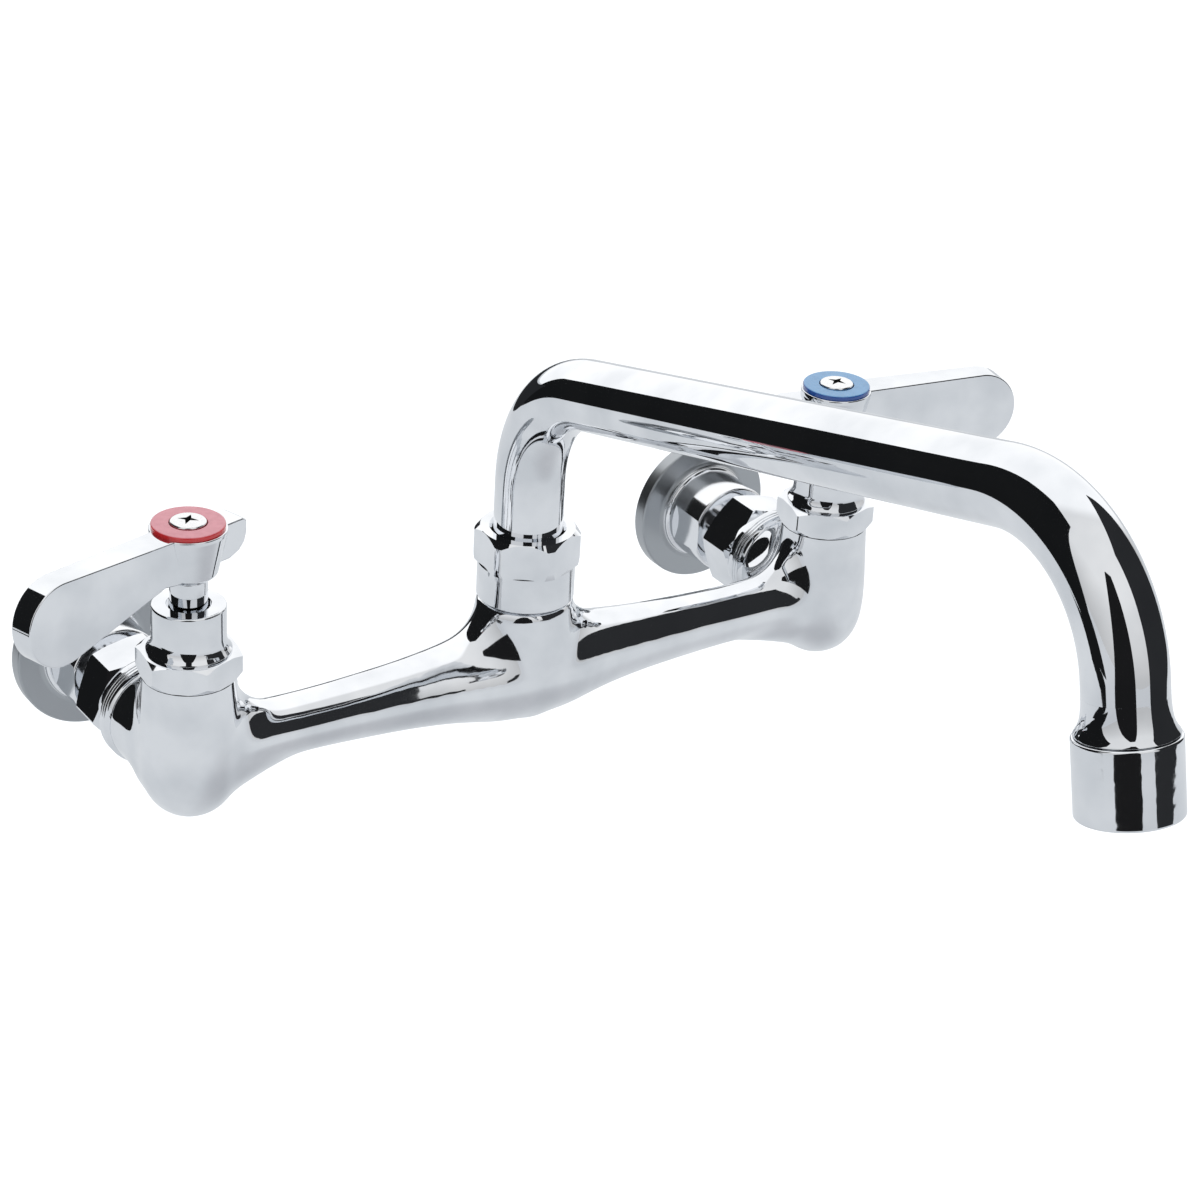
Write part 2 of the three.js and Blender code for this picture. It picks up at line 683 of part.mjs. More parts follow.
function handle() {
  const tipEnd = leverTipReach + leverTipRadius + 1;
  const taper = (leverRootWidth - leverTipWidth) / leverTipReach;
  const widthAt = (reach) => leverRootWidth - taper * reach;
  const plan = [
    [0, -leverRootWidth / 2], [tipEnd, -widthAt(tipEnd) / 2],
    [tipEnd, widthAt(tipEnd) / 2], [0, leverRootWidth / 2],
  ];
  const lever = upright(leverSide(), leverRootWidth + 1)
    .intersect(raised(plan, 0, handleHubTop + leverTipRadius));
  const hub = turned([
    [0, handleHubBottom], [handleHubFootRadius, handleHubBottom],
    [handleHubBottomRadius, handleHubBottom + 1.4],
    [handleHubTopRadius, handleHubTop - 1], [handleHubTopRadius - 0.2, handleHubTop],
    [0, handleHubTop],
  ], wide);
  const socket = turned([
    [0, handleHubBottom - 1], [stemSplineRadius + slideFit, handleHubBottom - 1],
    [stemSplineRadius + slideFit, handleSocketTop], [handleScrewHoleRadius, handleSocketTop],
    [handleScrewHoleRadius, handleHubTop + 1], [0, handleHubTop + 1],
  ], small);
  return union(hub, lever, upright(tabSide(), tabWidth)).subtract(socket);
}

function indexButton() {
  const bottom = handleHubTop + seatGap;
  const top = bottom + indexThickness;
  return turned([
    [indexHoleRadius, bottom], [indexRadius, bottom], [indexRadius, top - 0.25],
    [indexRadius - 0.25, top], [indexHoleRadius, top], [indexHoleRadius, bottom],
  ], wide);
}

function handleScrew() {
  const headBottom = handleHubTop + seatGap;
  const headTop = headBottom + screwHeadHeight;
  const blank = turned([
    [0, headBottom - screwLength], [screwShankRadius, headBottom - screwLength],
    [screwShankRadius, headBottom], [screwHeadRadius, headBottom],
    [screwHeadRadius, headTop - 1], [screwHeadRadius * 0.8, headTop - 0.3],
    [screwHeadRadius * 0.45, headTop], [0, headTop],
  ], small);
  const slots = [0, 90].map((turn) => box(
    crossRecessLength, crossRecessWidth, 2 * crossRecessDepth, 0, 0, 0,
  ).rotate([0, 0, turn]).translate([0, 0, headTop]));
  return cut(blank, ...slots);
}

function addValve(side, x, handleTurn, bonnetTurn, indexColour) {
  const valve = new THREE.Group();
  valve.position.set(x, -valveSetback, 0);
  const sealRing = turned([
    [valvePortRadius, cartridgeBottom - sealRise], [discRadius, cartridgeBottom - sealRise],
    [discRadius, sealTop], [valvePortRadius, sealTop],
    [valvePortRadius, cartridgeBottom - sealRise],
  ], small);
  const guideBush = ring(
    stemRadius + slideFit, cartridgeNeckRadius,
    cartridgeNeckTop + seatGap, cartridgeNeckTop + seatGap + guideBushHeight, small,
  );
  addPiece(valve, `${side}_seat_seal`, sealRing, rubber);
  addPiece(valve, `${side}_fixed_disc`, ceramicDisc(fixedDiscBottom, fixedDiscTop, false), ceramic);
  addPiece(valve, `${side}_cartridge_body`, cartridgeBody(), bareBrass);
  addPiece(valve, `${side}_guide_bush`, guideBush, acetal);
  addPiece(valve, `${side}_bonnet`, bonnet(bonnetTurn), chrome);

  // What turns with the lever stands as it does with the water shut off.
  const turning = new THREE.Group();
  const outwards = x < 0 ? 180 + handleTurn : -handleTurn;
  turning.rotation.z = THREE.MathUtils.degToRad(outwards);
  const stemORing = oRing(
    stemRadius - stemGrooveDepth + ringPlay, stemORingThickness, stemGrooveHeight, small,
  );
  addPiece(turning, `${side}_moving_disc`, ceramicDisc(movingDiscBottom, movingDiscTop, true), ceramic);
  addPiece(turning, `${side}_stem`, stem(), chrome);
  addPiece(turning, `${side}_stem_o_ring`, stemORing, rubber);
  addPiece(turning, `${side}_handle`, handle(), chrome);
  addPiece(turning, `${side}_index_button`, indexButton(), indexColour);
  addPiece(turning, `${side}_handle_screw`, handleScrew(), stainless);
  valve.add(turning);
  faucet.add(valve);
}

addValve("hot", hotSide, hotHandleTurn, hotBonnetTurn, hotRed);
addValve("cold", coldSide, coldHandleTurn, coldBonnetTurn, coldBlue);

// ---------------------------------------------------------------------------------------
// Spout: nut, swivel washers, tailpiece, tube and outlet, about the hub's axis
// ---------------------------------------------------------------------------------------

const lowerWasherBottom = hubSpigotTop + seatGap;
const tailFlangeBottom = lowerWasherBottom + swivelWasherThickness + seatGap;
const tailFlangeTop = tailFlangeBottom + tailpieceFlangeThickness;
const upperWasherBottom = tailFlangeTop + seatGap;
const spoutNutLip = upperWasherBottom + swivelWasherThickness + seatGap;
const tubeBottom = tailFlangeTop + seatGap;
const tubeBoreRadius = tubeRadius - tubeWall;

function spoutNut() {
  const skirtBottom = hubShoulder + seatGap;
  const blank = union(
    rod(spoutNutSkirtRadius, skirtBottom, spoutNutSkirtTop, wide),
    hexagon(spoutNutAcrossFlats, spoutNutSkirtTop - 0.2, spoutNutTop, spoutNutTurn, true),
  );
  const threadRadius = hubSpigotRadius + slideFit;
  const bore = turned([
    [0, skirtBottom - 1], [threadRadius, skirtBottom - 1], [threadRadius, spoutNutLip],
    [tubeRadius + slideFit, spoutNutLip], [tubeRadius + slideFit, spoutNutTop - 0.8],
    [tubeRadius + slideFit + 1.2, spoutNutTop + 0.4], [0, spoutNutTop + 0.4],
  ], wide);
  return blank.subtract(bore);
}

function spoutTailpiece() {
  const grooveRadius = tailpieceRadius - tailpieceGrooveDepth;
  const halfGroove = (tailpieceORingThickness + grooveSpare) / 2;
  const grooves = tailpieceGrooves.flatMap((height) => [
    [tailpieceRadius, height - halfGroove], [grooveRadius, height - halfGroove],
    [grooveRadius, height + halfGroove], [tailpieceRadius, height + halfGroove],
  ]);
  const spigotTop = tailFlangeTop + tailpieceSpigotLength;
  return turned([
    [tailpieceBoreRadius, tailpieceBottom], [tailpieceRadius, tailpieceBottom], ...grooves,
    [tailpieceRadius, tailFlangeBottom], [tailpieceFlangeRadius, tailFlangeBottom],
    [tailpieceFlangeRadius, tailFlangeTop], [tubeBoreRadius - spigotFit, tailFlangeTop],
    [tubeBoreRadius - spigotFit, spigotTop], [tailpieceBoreRadius, spigotTop],
    [tailpieceBoreRadius, tailpieceBottom],
  ], medium);
}

// The spout's centreline, walked from the tailpiece: straight stretches and bends in the
// plane X = 0. Each station holds a point and the direction of travel there.
function spoutStations() {
  const stations = [];
  let heading = 90; // degrees above the horizontal, looking outwards
  let reach = 0;
  let height = tubeBottom;
  const stop = () => stations.push({ reach, height, heading });
  const straight = (length, steps) => {
    for (let i = 0; i < steps; i += 1) {
      reach += (length / steps) * Math.cos(THREE.MathUtils.degToRad(heading));
      height += (length / steps) * Math.sin(THREE.MathUtils.degToRad(heading));
      stop();
    }
  };
  const bend = (radius, angle, steps) => {
    const centreReach = reach + radius * Math.sin(THREE.MathUtils.degToRad(heading));
    const centreHeight = height - radius * Math.cos(THREE.MathUtils.degToRad(heading));
    for (let i = 0; i < steps; i += 1) {
      heading -= angle / steps;
      reach = centreReach - radius * Math.sin(THREE.MathUtils.degToRad(heading));
      height = centreHeight + radius * Math.cos(THREE.MathUtils.degToRad(heading));
      stop();
    }
  };
  stop();
  straight(riserTop - tubeBottom, 1);
  bend(firstBendRadius, 90 - runRise, 8);
  straight(runLength, 2);
  bend(lastBendRadius, 90 + runRise - outletTilt, 10);
  straight(dropLength, 1);
  return stations;
}

// A curve whose even steps fall on the given stations.
class StationCurve extends THREE.Curve {
  constructor(stations) {
    super();
    this.points = stations.map(({ reach, height }) => new THREE.Vector3(0, -reach, height));
    this.headings = stations.map(({ heading }) => {
      const angle = THREE.MathUtils.degToRad(heading);
      return new THREE.Vector3(0, -Math.cos(angle), Math.sin(angle));
    });
  }

  between(list, t) {
    const last = list.length - 1;
    const i = Math.min(Math.floor(t * last), last - 1);
    return list[i].clone().lerp(list[i + 1], t * last - i);
  }

  getPoint(t) {
    return this.between(this.points, t);
  }

  getTangent(t) {
    return this.between(this.headings, t).normalize();
  }

  getUtoTmapping(u) {
    return u;
  }
}

const tubeStations = spoutStations();
const tubeEnd = tubeStations[tubeStations.length - 1];

function spoutTube() {
  const circle = (sides, radius) =>
    polygon(sides, radius, 0).map(([x, y]) => new THREE.Vector2(x, y));
  const section = new THREE.Shape(circle(wide, tubeRadius));
  section.holes.push(new THREE.Path(circle(small, tubeBoreRadius).reverse()));
  return solid(new THREE.ExtrudeGeometry(section, {
    steps: tubeStations.length - 1,
    extrudePath: new StationCurve(tubeStations),
  }));
}

// Outlet pieces are turned about Z, with 0 at the top rim of the aerator housing.
function outletFerrule() {
  const spigotTop = ferruleFlareHeight + ferruleSpigotLength;
  const flare = arc(
    [tubeRadius + ferruleFlareHeight, ferruleFlareHeight], ferruleFlareHeight, 180, 232, 4,
  );
  return turned([
    [ferruleBoreRadius, -ferruleThreadLength], [ferruleThreadRadius, -ferruleThreadLength],
    [ferruleThreadRadius, seatGap], [ferruleFlareRadius, seatGap],
    [ferruleFlareRadius, seatGap + 0.6], ...flare.reverse(),
    [tubeBoreRadius - spigotFit, ferruleFlareHeight], [tubeBoreRadius - spigotFit, spigotTop],
    [ferruleBoreRadius, spigotTop], [ferruleBoreRadius, -ferruleThreadLength],
  ], wide);
}

function aeratorHousing() {
  const innerRadius = housingRadius - housingWall;
  return turned([
    [innerRadius, 0], [innerRadius, -housingLength + housingLipThickness],
    [housingLipRadius, -housingLength + housingLipThickness], [housingLipRadius, -housingLength],
    [housingRadius - 0.5, -housingLength], [housingRadius, -housingLength + 0.5],
    [housingRadius, -0.5], [housingRadius - 0.4, 0], [innerRadius, 0],
  ], wide);
}

// A cup whose floor is pierced by rings of jets.
function aeratorInsert(top, bottom, radius) {
  const cup = turned([
    [0, bottom], [radius, bottom], [radius, top], [radius - aeratorCupWall, top],
    [radius - aeratorCupWall, bottom + aeratorFloorThickness], [0, bottom + aeratorFloorThickness],
  ], medium);
  const jets = [[5, 3], [10, 6.8]].flatMap(([count, reach]) =>
    polygon(count, reach, 0).map(([x, y]) =>
      rod(aeratorJetRadius, bottom - 1, top, jetSides).translate([x, y, 0])));
  return cut(cup, ...jets);
}

function aeratorScreen(top, radius) {
  const bottom = top - screenThickness;
  const plate = rod(radius, bottom, top, medium);
  const window = screenPitch - screenBar;
  const rows = [-2, -1, 0, 1, 2].map((row) => row * screenPitch);
  const holes = rows.flatMap((x) => rows.map((y) => [x, y]))
    .filter(([x, y]) => Math.hypot(x, y) < radius - screenRim)
    .map(([x, y]) => box(window, window, 4 * screenThickness, x, y, top));
  return cut(plate, ...holes);
}

function addSpout() {
  const spout = new THREE.Group();
  spout.position.set(0, -valveSetback, 0);
  const washer = (innerRadius, bottom) => ring(
    innerRadius, tailpieceFlangeRadius, bottom, bottom + swivelWasherThickness, medium,
  );
  const tailRing = (height) => oRing(
    tailpieceRadius - tailpieceGrooveDepth + ringPlay, tailpieceORingThickness, height, medium,
  );
  addPiece(spout, "spout_nut", spoutNut(), chrome);
  addPiece(spout, "lower_swivel_washer", washer(tailpieceRadius + slideFit, lowerWasherBottom), acetal);
  addPiece(spout, "upper_swivel_washer", washer(tubeRadius + slideFit, upperWasherBottom), acetal);
  addPiece(spout, "spout_tailpiece", spoutTailpiece(), bareBrass);
  addPiece(spout, "lower_spout_o_ring", tailRing(tailpieceGrooves[0]), rubber);
  addPiece(spout, "upper_spout_o_ring", tailRing(tailpieceGrooves[1]), rubber);
  addPiece(spout, "spout_tube", spoutTube(), chrome);

  // The outlet hangs from the tube's end, in line with it.
  const outlet = new THREE.Group();
  outlet.position.set(0, -tubeEnd.reach, tubeEnd.height);
  outlet.rotation.x = -THREE.MathUtils.degToRad(outletTilt);
  const fitting = new THREE.Group();
  fitting.position.z = -ferruleFlareHeight - seatGap;
  const insideRadius = housingRadius - housingWall - slideFit;
  const gasketTop = -ferruleThreadLength - seatGap;
  const insertTop = gasketTop - aeratorGasketThickness - seatGap;
  const screenTop = -housingLength + housingLipThickness + seatGap + screenThickness;
  const insertBottom = screenTop + seatGap;
  const gasket = ring(
    ferruleBoreRadius, insideRadius, gasketTop - aeratorGasketThickness, gasketTop, small,
  );
  addPiece(fitting, "outlet_ferrule", outletFerrule(), chrome);
  addPiece(fitting, "aerator_housing", aeratorHousing(), chrome);
  addPiece(fitting, "aerator_gasket", gasket, rubber);
  addPiece(fitting, "aerator_insert", aeratorInsert(insertTop, insertBottom, insideRadius), acetal);
  addPiece(fitting, "aerator_screen", aeratorScreen(screenTop, insideRadius), stainless);
  outlet.add(fitting);
  spout.add(outlet);
  faucet.add(spout);
}

addSpout();

export default faucet;
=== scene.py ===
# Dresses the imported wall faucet: polished chrome castings, turned and drawn parts, enamelled
# index rings and the working parts inside, in a white studio with black cards.
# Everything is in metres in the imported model's frame: the wall is the plane Y = 0, the spout
# reaches out along -Y, +X runs from the hot side to the cold side and +Z is up.

import math

import bmesh
import bpy
from mathutils import Matrix, Quaternion, Vector


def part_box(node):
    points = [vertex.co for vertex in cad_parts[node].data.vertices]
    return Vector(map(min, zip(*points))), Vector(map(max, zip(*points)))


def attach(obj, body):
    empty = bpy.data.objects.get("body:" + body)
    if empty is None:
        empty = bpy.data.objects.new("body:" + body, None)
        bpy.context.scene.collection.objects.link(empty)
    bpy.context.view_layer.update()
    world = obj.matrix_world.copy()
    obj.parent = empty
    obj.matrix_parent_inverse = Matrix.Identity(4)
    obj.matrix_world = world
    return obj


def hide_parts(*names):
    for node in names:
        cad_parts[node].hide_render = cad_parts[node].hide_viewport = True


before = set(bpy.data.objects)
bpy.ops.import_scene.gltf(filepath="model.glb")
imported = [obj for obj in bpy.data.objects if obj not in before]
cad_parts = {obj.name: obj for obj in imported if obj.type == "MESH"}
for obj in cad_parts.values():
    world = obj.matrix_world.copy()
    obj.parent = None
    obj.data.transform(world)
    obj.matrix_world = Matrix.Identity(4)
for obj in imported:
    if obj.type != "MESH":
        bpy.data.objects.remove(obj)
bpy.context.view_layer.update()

MM = 0.001


# --- Camera ---------------------------------------------------------------------------------
# A long lens nearly a metre away, above and to the left of the spout's tip, rolled a little.
# Its lens, place and angles were fitted to the photograph.
camera_target = Vector((25.0, -64.0, 13.75)) * MM
camera_distance = 898.45 * MM
camera_azimuth = math.radians(-34.20)
camera_elevation = math.radians(26.91)
camera_roll = math.radians(3.40)

towards_camera = Vector((
    math.sin(camera_azimuth) * math.cos(camera_elevation),
    -math.cos(camera_azimuth) * math.cos(camera_elevation),
    math.sin(camera_elevation),
))
lens = bpy.data.cameras.new("photograph_lens")
lens.sensor_width = 36
lens.lens = 96.68
lens.clip_start = 0.01
camera = bpy.data.objects.new("camera", lens)
camera.location = camera_target + towards_camera * camera_distance
camera.rotation_mode = "QUATERNION"
camera.rotation_quaternion = (
    towards_camera.to_track_quat("Z", "Y") @ Quaternion((0, 0, 1), camera_roll)
)
bpy.context.scene.collection.objects.link(camera)
bpy.context.scene.camera = camera


# --- Body casting ---------------------------------------------------------------------------
# One brass casting: two valve towers joined by waisted arms that swell into the spout hub, and
# a short inlet neck behind each tower. It is ground and polished all over, which rounds every
# junction, then plated with nickel and chromium.
def srgb(hex_colour):
    """The linear colour of an sRGB hex value."""
    channels = [int(hex_colour[i:i + 2], 16) / 255 for i in (1, 3, 5)]
    linear = [c / 12.92 if c <= 0.04045 else ((c + 0.055) / 1.055) ** 2.4 for c in channels]
    return (*linear, 1)


def add_node(material, kind, settings=None, links=None):
    """Adds a shader node, sets its inputs or properties and links its inputs."""
    node = material.node_tree.nodes.new(kind)
    for name, value in (settings or {}).items():
        if name in node.inputs:
            node.inputs[name].default_value = value
        else:
            setattr(node, name, value)
    for name, source in (links or {}).items():
        material.node_tree.links.new(source, node.inputs[name])
    return node


# A Mix node's sockets for colours: its two inputs and its result
mix_a, mix_b, mix_result = 6, 7, 2


def blank_material(name):
    """A material with a Principled shader and an output and nothing else."""
    material = bpy.data.materials.new(name)
    material.use_nodes = True
    return material, material.node_tree.nodes["Principled BSDF"]


def chromium_plate(name, roughness, swell, swell_width):
    """Chromium over polished nickel: a near mirror, faintly blue. A haze clouds it, and the
    grinding before it leaves slow swells, swell mm high and swell_width mm wide, which bend
    the reflections."""
    material, shader = blank_material(name)
    shader.inputs["Metallic"].default_value = 1
    place = add_node(material, "ShaderNodeTexCoord")
    haze_width = 17 * MM
    haze = add_node(
        material, "ShaderNodeTexNoise", {"Scale": 1 / haze_width, "Detail": 3},
        {"Vector": place.outputs["Object"]},
    )
    polish = add_node(
        material, "ShaderNodeMapRange",
        {"From Min": 0.3, "From Max": 0.7, "To Min": roughness * 0.7, "To Max": roughness * 1.4},
        {"Value": haze.outputs["Fac"]},
    )
    grinding = add_node(
        material, "ShaderNodeTexNoise", {"Scale": 1 / (swell_width * MM), "Detail": 1},
        {"Vector": place.outputs["Object"]},
    )
    relief = add_node(
        material, "ShaderNodeBump", {"Strength": 1, "Distance": swell * MM},
        {"Height": grinding.outputs["Fac"]},
    )
    cloud = add_node(
        material, "ShaderNodeMapRange", {"From Min": 0.35, "From Max": 0.65},
        {"Value": haze.outputs["Fac"]},
    )
    tint = add_node(
        material, "ShaderNodeMix", {"data_type": "RGBA"}, {"Factor": cloud.outputs["Result"]},
    )
    tint.inputs[mix_a].default_value = srgb("#EAECEF")
    tint.inputs[mix_b].default_value = srgb("#DADDE1")
    links = material.node_tree.links
    links.new(tint.outputs[mix_result], shader.inputs["Base Color"])
    links.new(polish.outputs["Result"], shader.inputs["Roughness"])
    links.new(relief.outputs["Normal"], shader.inputs["Normal"])
    return material


def turned(profile, steps=96):
    """A bmesh turned about Z. Each corner is (radius, height) or (radius, height, rounding),
    in mm; the section starts and ends on the axis or closes on its first corner."""
    bm = bmesh.new()
    closed = profile[0][:2] == profile[-1][:2]
    corners = profile[:-1] if closed else profile
    verts = [bm.verts.new((corner[0] * MM, 0, corner[1] * MM)) for corner in corners]
    for start, end in zip(verts, verts[1:]):
        bm.edges.new((start, end))
    if closed:
        bm.edges.new((verts[-1], verts[0]))
    for vert, corner in zip(verts, corners):
        if len(corner) == 3:
            bmesh.ops.bevel(
                bm, geom=[vert], offset=corner[2] * MM, offset_type="OFFSET", segments=5,
                profile=0.5, affect="VERTICES", material=-1,
            )
    bmesh.ops.spin(
        bm, geom=bm.verts[:] + bm.edges[:], cent=(0, 0, 0), axis=(0, 0, 1),
        angle=2 * math.pi, steps=steps, use_merge=True,
    )
    bmesh.ops.remove_doubles(bm, verts=bm.verts[:], dist=0.001 * MM)
    bmesh.ops.recalc_face_normals(bm, faces=bm.faces[:])
    return bm


def placed(bm, *transforms):
    """Applies the transforms to a bmesh, the first one first."""
    for transform in transforms:
        bmesh.ops.transform(bm, matrix=transform, verts=bm.verts[:])
    return bm


def stand_alone(name, *parts):
    """An object made of one or more bmeshes, smooth shaded."""
    mesh = bpy.data.meshes.new(name)
    whole = bmesh.new()
    for part in parts:
        part.to_mesh(mesh)
        whole.from_mesh(mesh)
        part.free()
    whole.to_mesh(mesh)
    whole.free()
    mesh.shade_smooth()
    piece = bpy.data.objects.new(name, mesh)
    bpy.context.scene.collection.objects.link(piece)
    return piece


def settle(piece):
    """Applies every modifier on the piece."""
    graph = bpy.context.evaluated_depsgraph_get()
    mesh = bpy.data.meshes.new_from_object(piece.evaluated_get(graph))
    piece.modifiers.clear()
    piece.data = mesh


def combine(piece, operation, *tools):
    """Joins bmeshes to a piece (UNION), cuts them from it (DIFFERENCE) or keeps what they
    share (INTERSECT)."""
    for tool in tools:
        other = stand_alone("tool", tool)
        change = piece.modifiers.new("shape", "BOOLEAN")
        change.operation = operation
        change.solver = "EXACT"
        change.object = other
        settle(piece)
        bpy.data.objects.remove(other)


def soften(piece, width):
    """Breaks sharp edges by width mm; the flats stay flat up to the edges that are left."""
    if width:
        edges = piece.modifiers.new("broken_edges", "BEVEL")
        edges.width = width * MM
        edges.segments = 3
        edges.limit_method = "ANGLE"
        edges.angle_limit = math.radians(28)
        edges.use_clamp_overlap = True
        edges.miter_outer = "MITER_ARC"
        settle(piece)
    piece.data.set_sharp_from_angle(angle=math.radians(22))
    flats = piece.modifiers.new("true_flats", "WEIGHTED_NORMAL")
    flats.mode = "FACE_AREA"
    flats.weight = 100
    flats.keep_sharp = True
    settle(piece)


def dress(piece, material, body, slot_name, *nodes):
    """Gives a piece its material, its body and the nodes that it stands for; slot_name is not
    used.
    """
    piece.data.materials.clear()
    piece.data.materials.append(material)
    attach(piece, body)
    if nodes:
        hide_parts(*nodes)


def middle(node):
    """The centre of a CAD node's box."""
    low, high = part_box(node)
    return (low + high) / 2


def turn(degrees, axis):
    return Matrix.Rotation(math.radians(degrees), 4, axis)


def move(x=0, y=0, z=0):
    return Matrix.Translation((x, y, z))


valve_axis = {side: middle(f"{side}_guide_bush") for side in ("hot", "cold")}
hub_axis = middle("lower_swivel_washer")
axis_depth = hub_axis.y
half_span = valve_axis["cold"].x / MM
wall_distance = -axis_depth / MM

# Radii along half an arm, from the hub's axis to the tower's, as (share of the half span, mm)
arm_waist = [
    (0, 14.2), (0.05, 14.1), (0.09, 13.8), (0.125, 13.3), (0.16, 12.6), (0.2, 11.8),
    (0.24, 11.1), (0.28, 10.55), (0.32, 10.1), (0.37, 9.6), (0.42, 9.25), (0.48, 8.9),
    (0.54, 8.6), (0.6, 8.35), (0.66, 8.2), (0.72, 8.2), (0.78, 8.4), (0.84, 8.9),
    (0.9, 9.8), (0.95, 10.8), (1, 11.5),
]
arm_height = -0.7
tower_radius = 13.4
tower_neck_radius = 12.35
tower_top = 21.5
tower_tip = [
    (0, -19.1), (4.4, -18.8, 1), (8.6, -16.4, 2), (11.4, -12.8, 2), (13.0, -8, 2), (13.5, -2, 2),
]
hub_bottom = -14.9
hub_neck_radius = 13.35
hub_shoulder = 21.6
inlet_neck_radius = 14.0
throat_radius = 12.6

sweep = [(0, -half_span)]
sweep += [(radius, -share * half_span) for share, radius in reversed(arm_waist)]
sweep += [(radius, share * half_span) for share, radius in arm_waist[1:]]
sweep += [(0, half_span)]
arms = placed(turned(sweep), turn(90, "Y"), move(0, axis_depth, arm_height * MM))

hub = placed(
    turned([
        (0, hub_bottom), (7, hub_bottom + 0.5, 3), (13.0, hub_bottom + 7, 4),
        (14.3, 6, 4), (hub_neck_radius, hub_shoulder), (0, hub_shoulder),
    ]),
    move(0, axis_depth, 0),
)
# Under the arms a web deepens towards each tower; seen from the end it is a lower, thinner arm.
web = [
    (0, -half_span), (11.6, -half_span), (11, -0.95 * half_span), (9.6, -0.88 * half_span),
    (7.2, -0.8 * half_span), (4.8, -0.7 * half_span), (0, -0.6 * half_span),
]
core_parts = [arms, hub]
for end in (1, -1):
    core_parts.append(placed(
        turned(web), turn(90, "Y"), Matrix.Diagonal((end, 1, 1, 1)),
        move(0, axis_depth, -4.6 * MM),
    ))
for side in ("hot", "cold"):
    core_parts.append(placed(
        turned([
            *tower_tip, (tower_radius, 4, 2), (tower_neck_radius, tower_top),
            (tower_neck_radius - 0.2, tower_top + 3), (0, tower_top + 3),
        ]),
        move(valve_axis[side].x, axis_depth, 0),
    ))
    core_parts.append(placed(
        turned([
            (0, 44), (14.6, 44, 1), (inlet_neck_radius, 47.5),
            (inlet_neck_radius - 0.2, wall_distance - 8),
            (0, wall_distance),
        ]),
        turn(90, "X"), move(valve_axis[side].x, 0, 0),
    ))
    # A ball fills the throat between the tower and the inlet neck.
    throat = bmesh.new()
    bmesh.ops.create_icosphere(throat, subdivisions=5, radius=throat_radius * MM)
    core_parts.append(placed(
        throat, move(valve_axis[side].x, axis_depth + 6 * MM, -5.6 * MM),
    ))
casting = stand_alone("cast_body", *core_parts)

# The pattern's fillets: the solids are swelled until they fuse, then shrunk back in steps,
# which leaves the hollows rounded and the rest as it was. A light smoothing polishes them.
fillet_radius = 12.0
shrinking_steps = 8
voxel = 0.62
offsets = [0, fillet_radius] + [-fillet_radius / shrinking_steps] * shrinking_steps
for offset in offsets:
    if offset:
        swell = casting.modifiers.new("swell", "DISPLACE")
        swell.mid_level = 0
        swell.strength = offset * MM
    fuse = casting.modifiers.new("fuse", "REMESH")
    fuse.mode = "VOXEL"
    fuse.voxel_size = voxel * MM
    fuse.use_smooth_shade = True
polishing = casting.modifiers.new("polishing", "SMOOTH")
polishing.factor = 0.5
polishing.iterations = 14
settle(casting)

# Turned features keep their edges: the hub's spigot, the beaded boss and the tail.
boss_back = 40.8
bead_pitch = 1.1
bead_radius = 15
beads = [
    corner
    for i in range(3)
    for corner in (
        (bead_radius, boss_back + i * bead_pitch, 0.25),
        (bead_radius, boss_back + i * bead_pitch + 0.75, 0.25),
        (bead_radius - 0.5, boss_back + (i + 1) * bead_pitch - 0.17),
    )
]
tail_radius = 8.6
tail_end = 35.6
groove_radius = 7.4
groove_start, groove_end = 36.55, 37.95
tail = [
    (0, tail_end), (tail_radius, tail_end), (tail_radius, groove_start),
    (groove_radius, groove_start), (groove_radius, groove_end), (tail_radius, groove_end),
    (tail_radius, boss_back),
]
spigot_radius = 11.3
spigot_top = 33
spigot = placed(
    turned([(0, 20), (spigot_radius, 20), (spigot_radius, spigot_top, 0.4), (0, spigot_top)]),
    move(0, axis_depth, 0),
)
shanks = [
    placed(
        turned([*tail, *beads, (inlet_neck_radius - 1, 46), (0, 47)]),
        turn(90, "X"), move(valve_axis[side].x, 0, 0),
    )
    for side in ("hot", "cold")
]
combine(casting, "UNION", spigot, *shanks)
# The bores are drilled, and the towers faced off flat at the top.
hub_bore = 9.2
seat_bore = 9.2
seat_height = -5
bonnet_thread_bore = 10.8
tower_waterway = 4.2
inlet_waterway = 5.2
bores = [placed(
    turned([(0, -7), (hub_bore, -7), (hub_bore, 34), (0, 34)], 64), move(0, axis_depth, 0),
)]
for side in ("hot", "cold"):
    bores.append(placed(
        turned([
            (0, -13), (tower_waterway, -13), (tower_waterway, seat_height),
            (seat_bore, seat_height), (seat_bore, 11), (bonnet_thread_bore, 11),
            (bonnet_thread_bore, tower_top), (16, tower_top), (16, tower_top + 6),
            (0, tower_top + 6),
        ], 64),
        move(valve_axis[side].x, axis_depth, 0),
    ))
    bores.append(placed(
        turned([(0, 30), (inlet_waterway, 30), (inlet_waterway, 47.1), (0, 47.1)], 48),
        turn(90, "X"), move(valve_axis[side].x, 0, 0),
    ))
combine(casting, "DIFFERENCE", *bores)
# The slivers that the cuts leave are merged, and facets lost in the bores are closed.
sliver = 0.001 * MM
skin = bmesh.new()
skin.from_mesh(casting.data)
bmesh.ops.remove_doubles(skin, verts=skin.verts[:], dist=sliver)
bmesh.ops.dissolve_degenerate(skin, edges=skin.edges[:], dist=sliver)
bmesh.ops.holes_fill(skin, edges=[edge for edge in skin.edges if edge.is_boundary], sides=0)
skin.to_mesh(casting.data)
skin.free()
casting.data.set_sharp_from_angle(angle=math.radians(40))

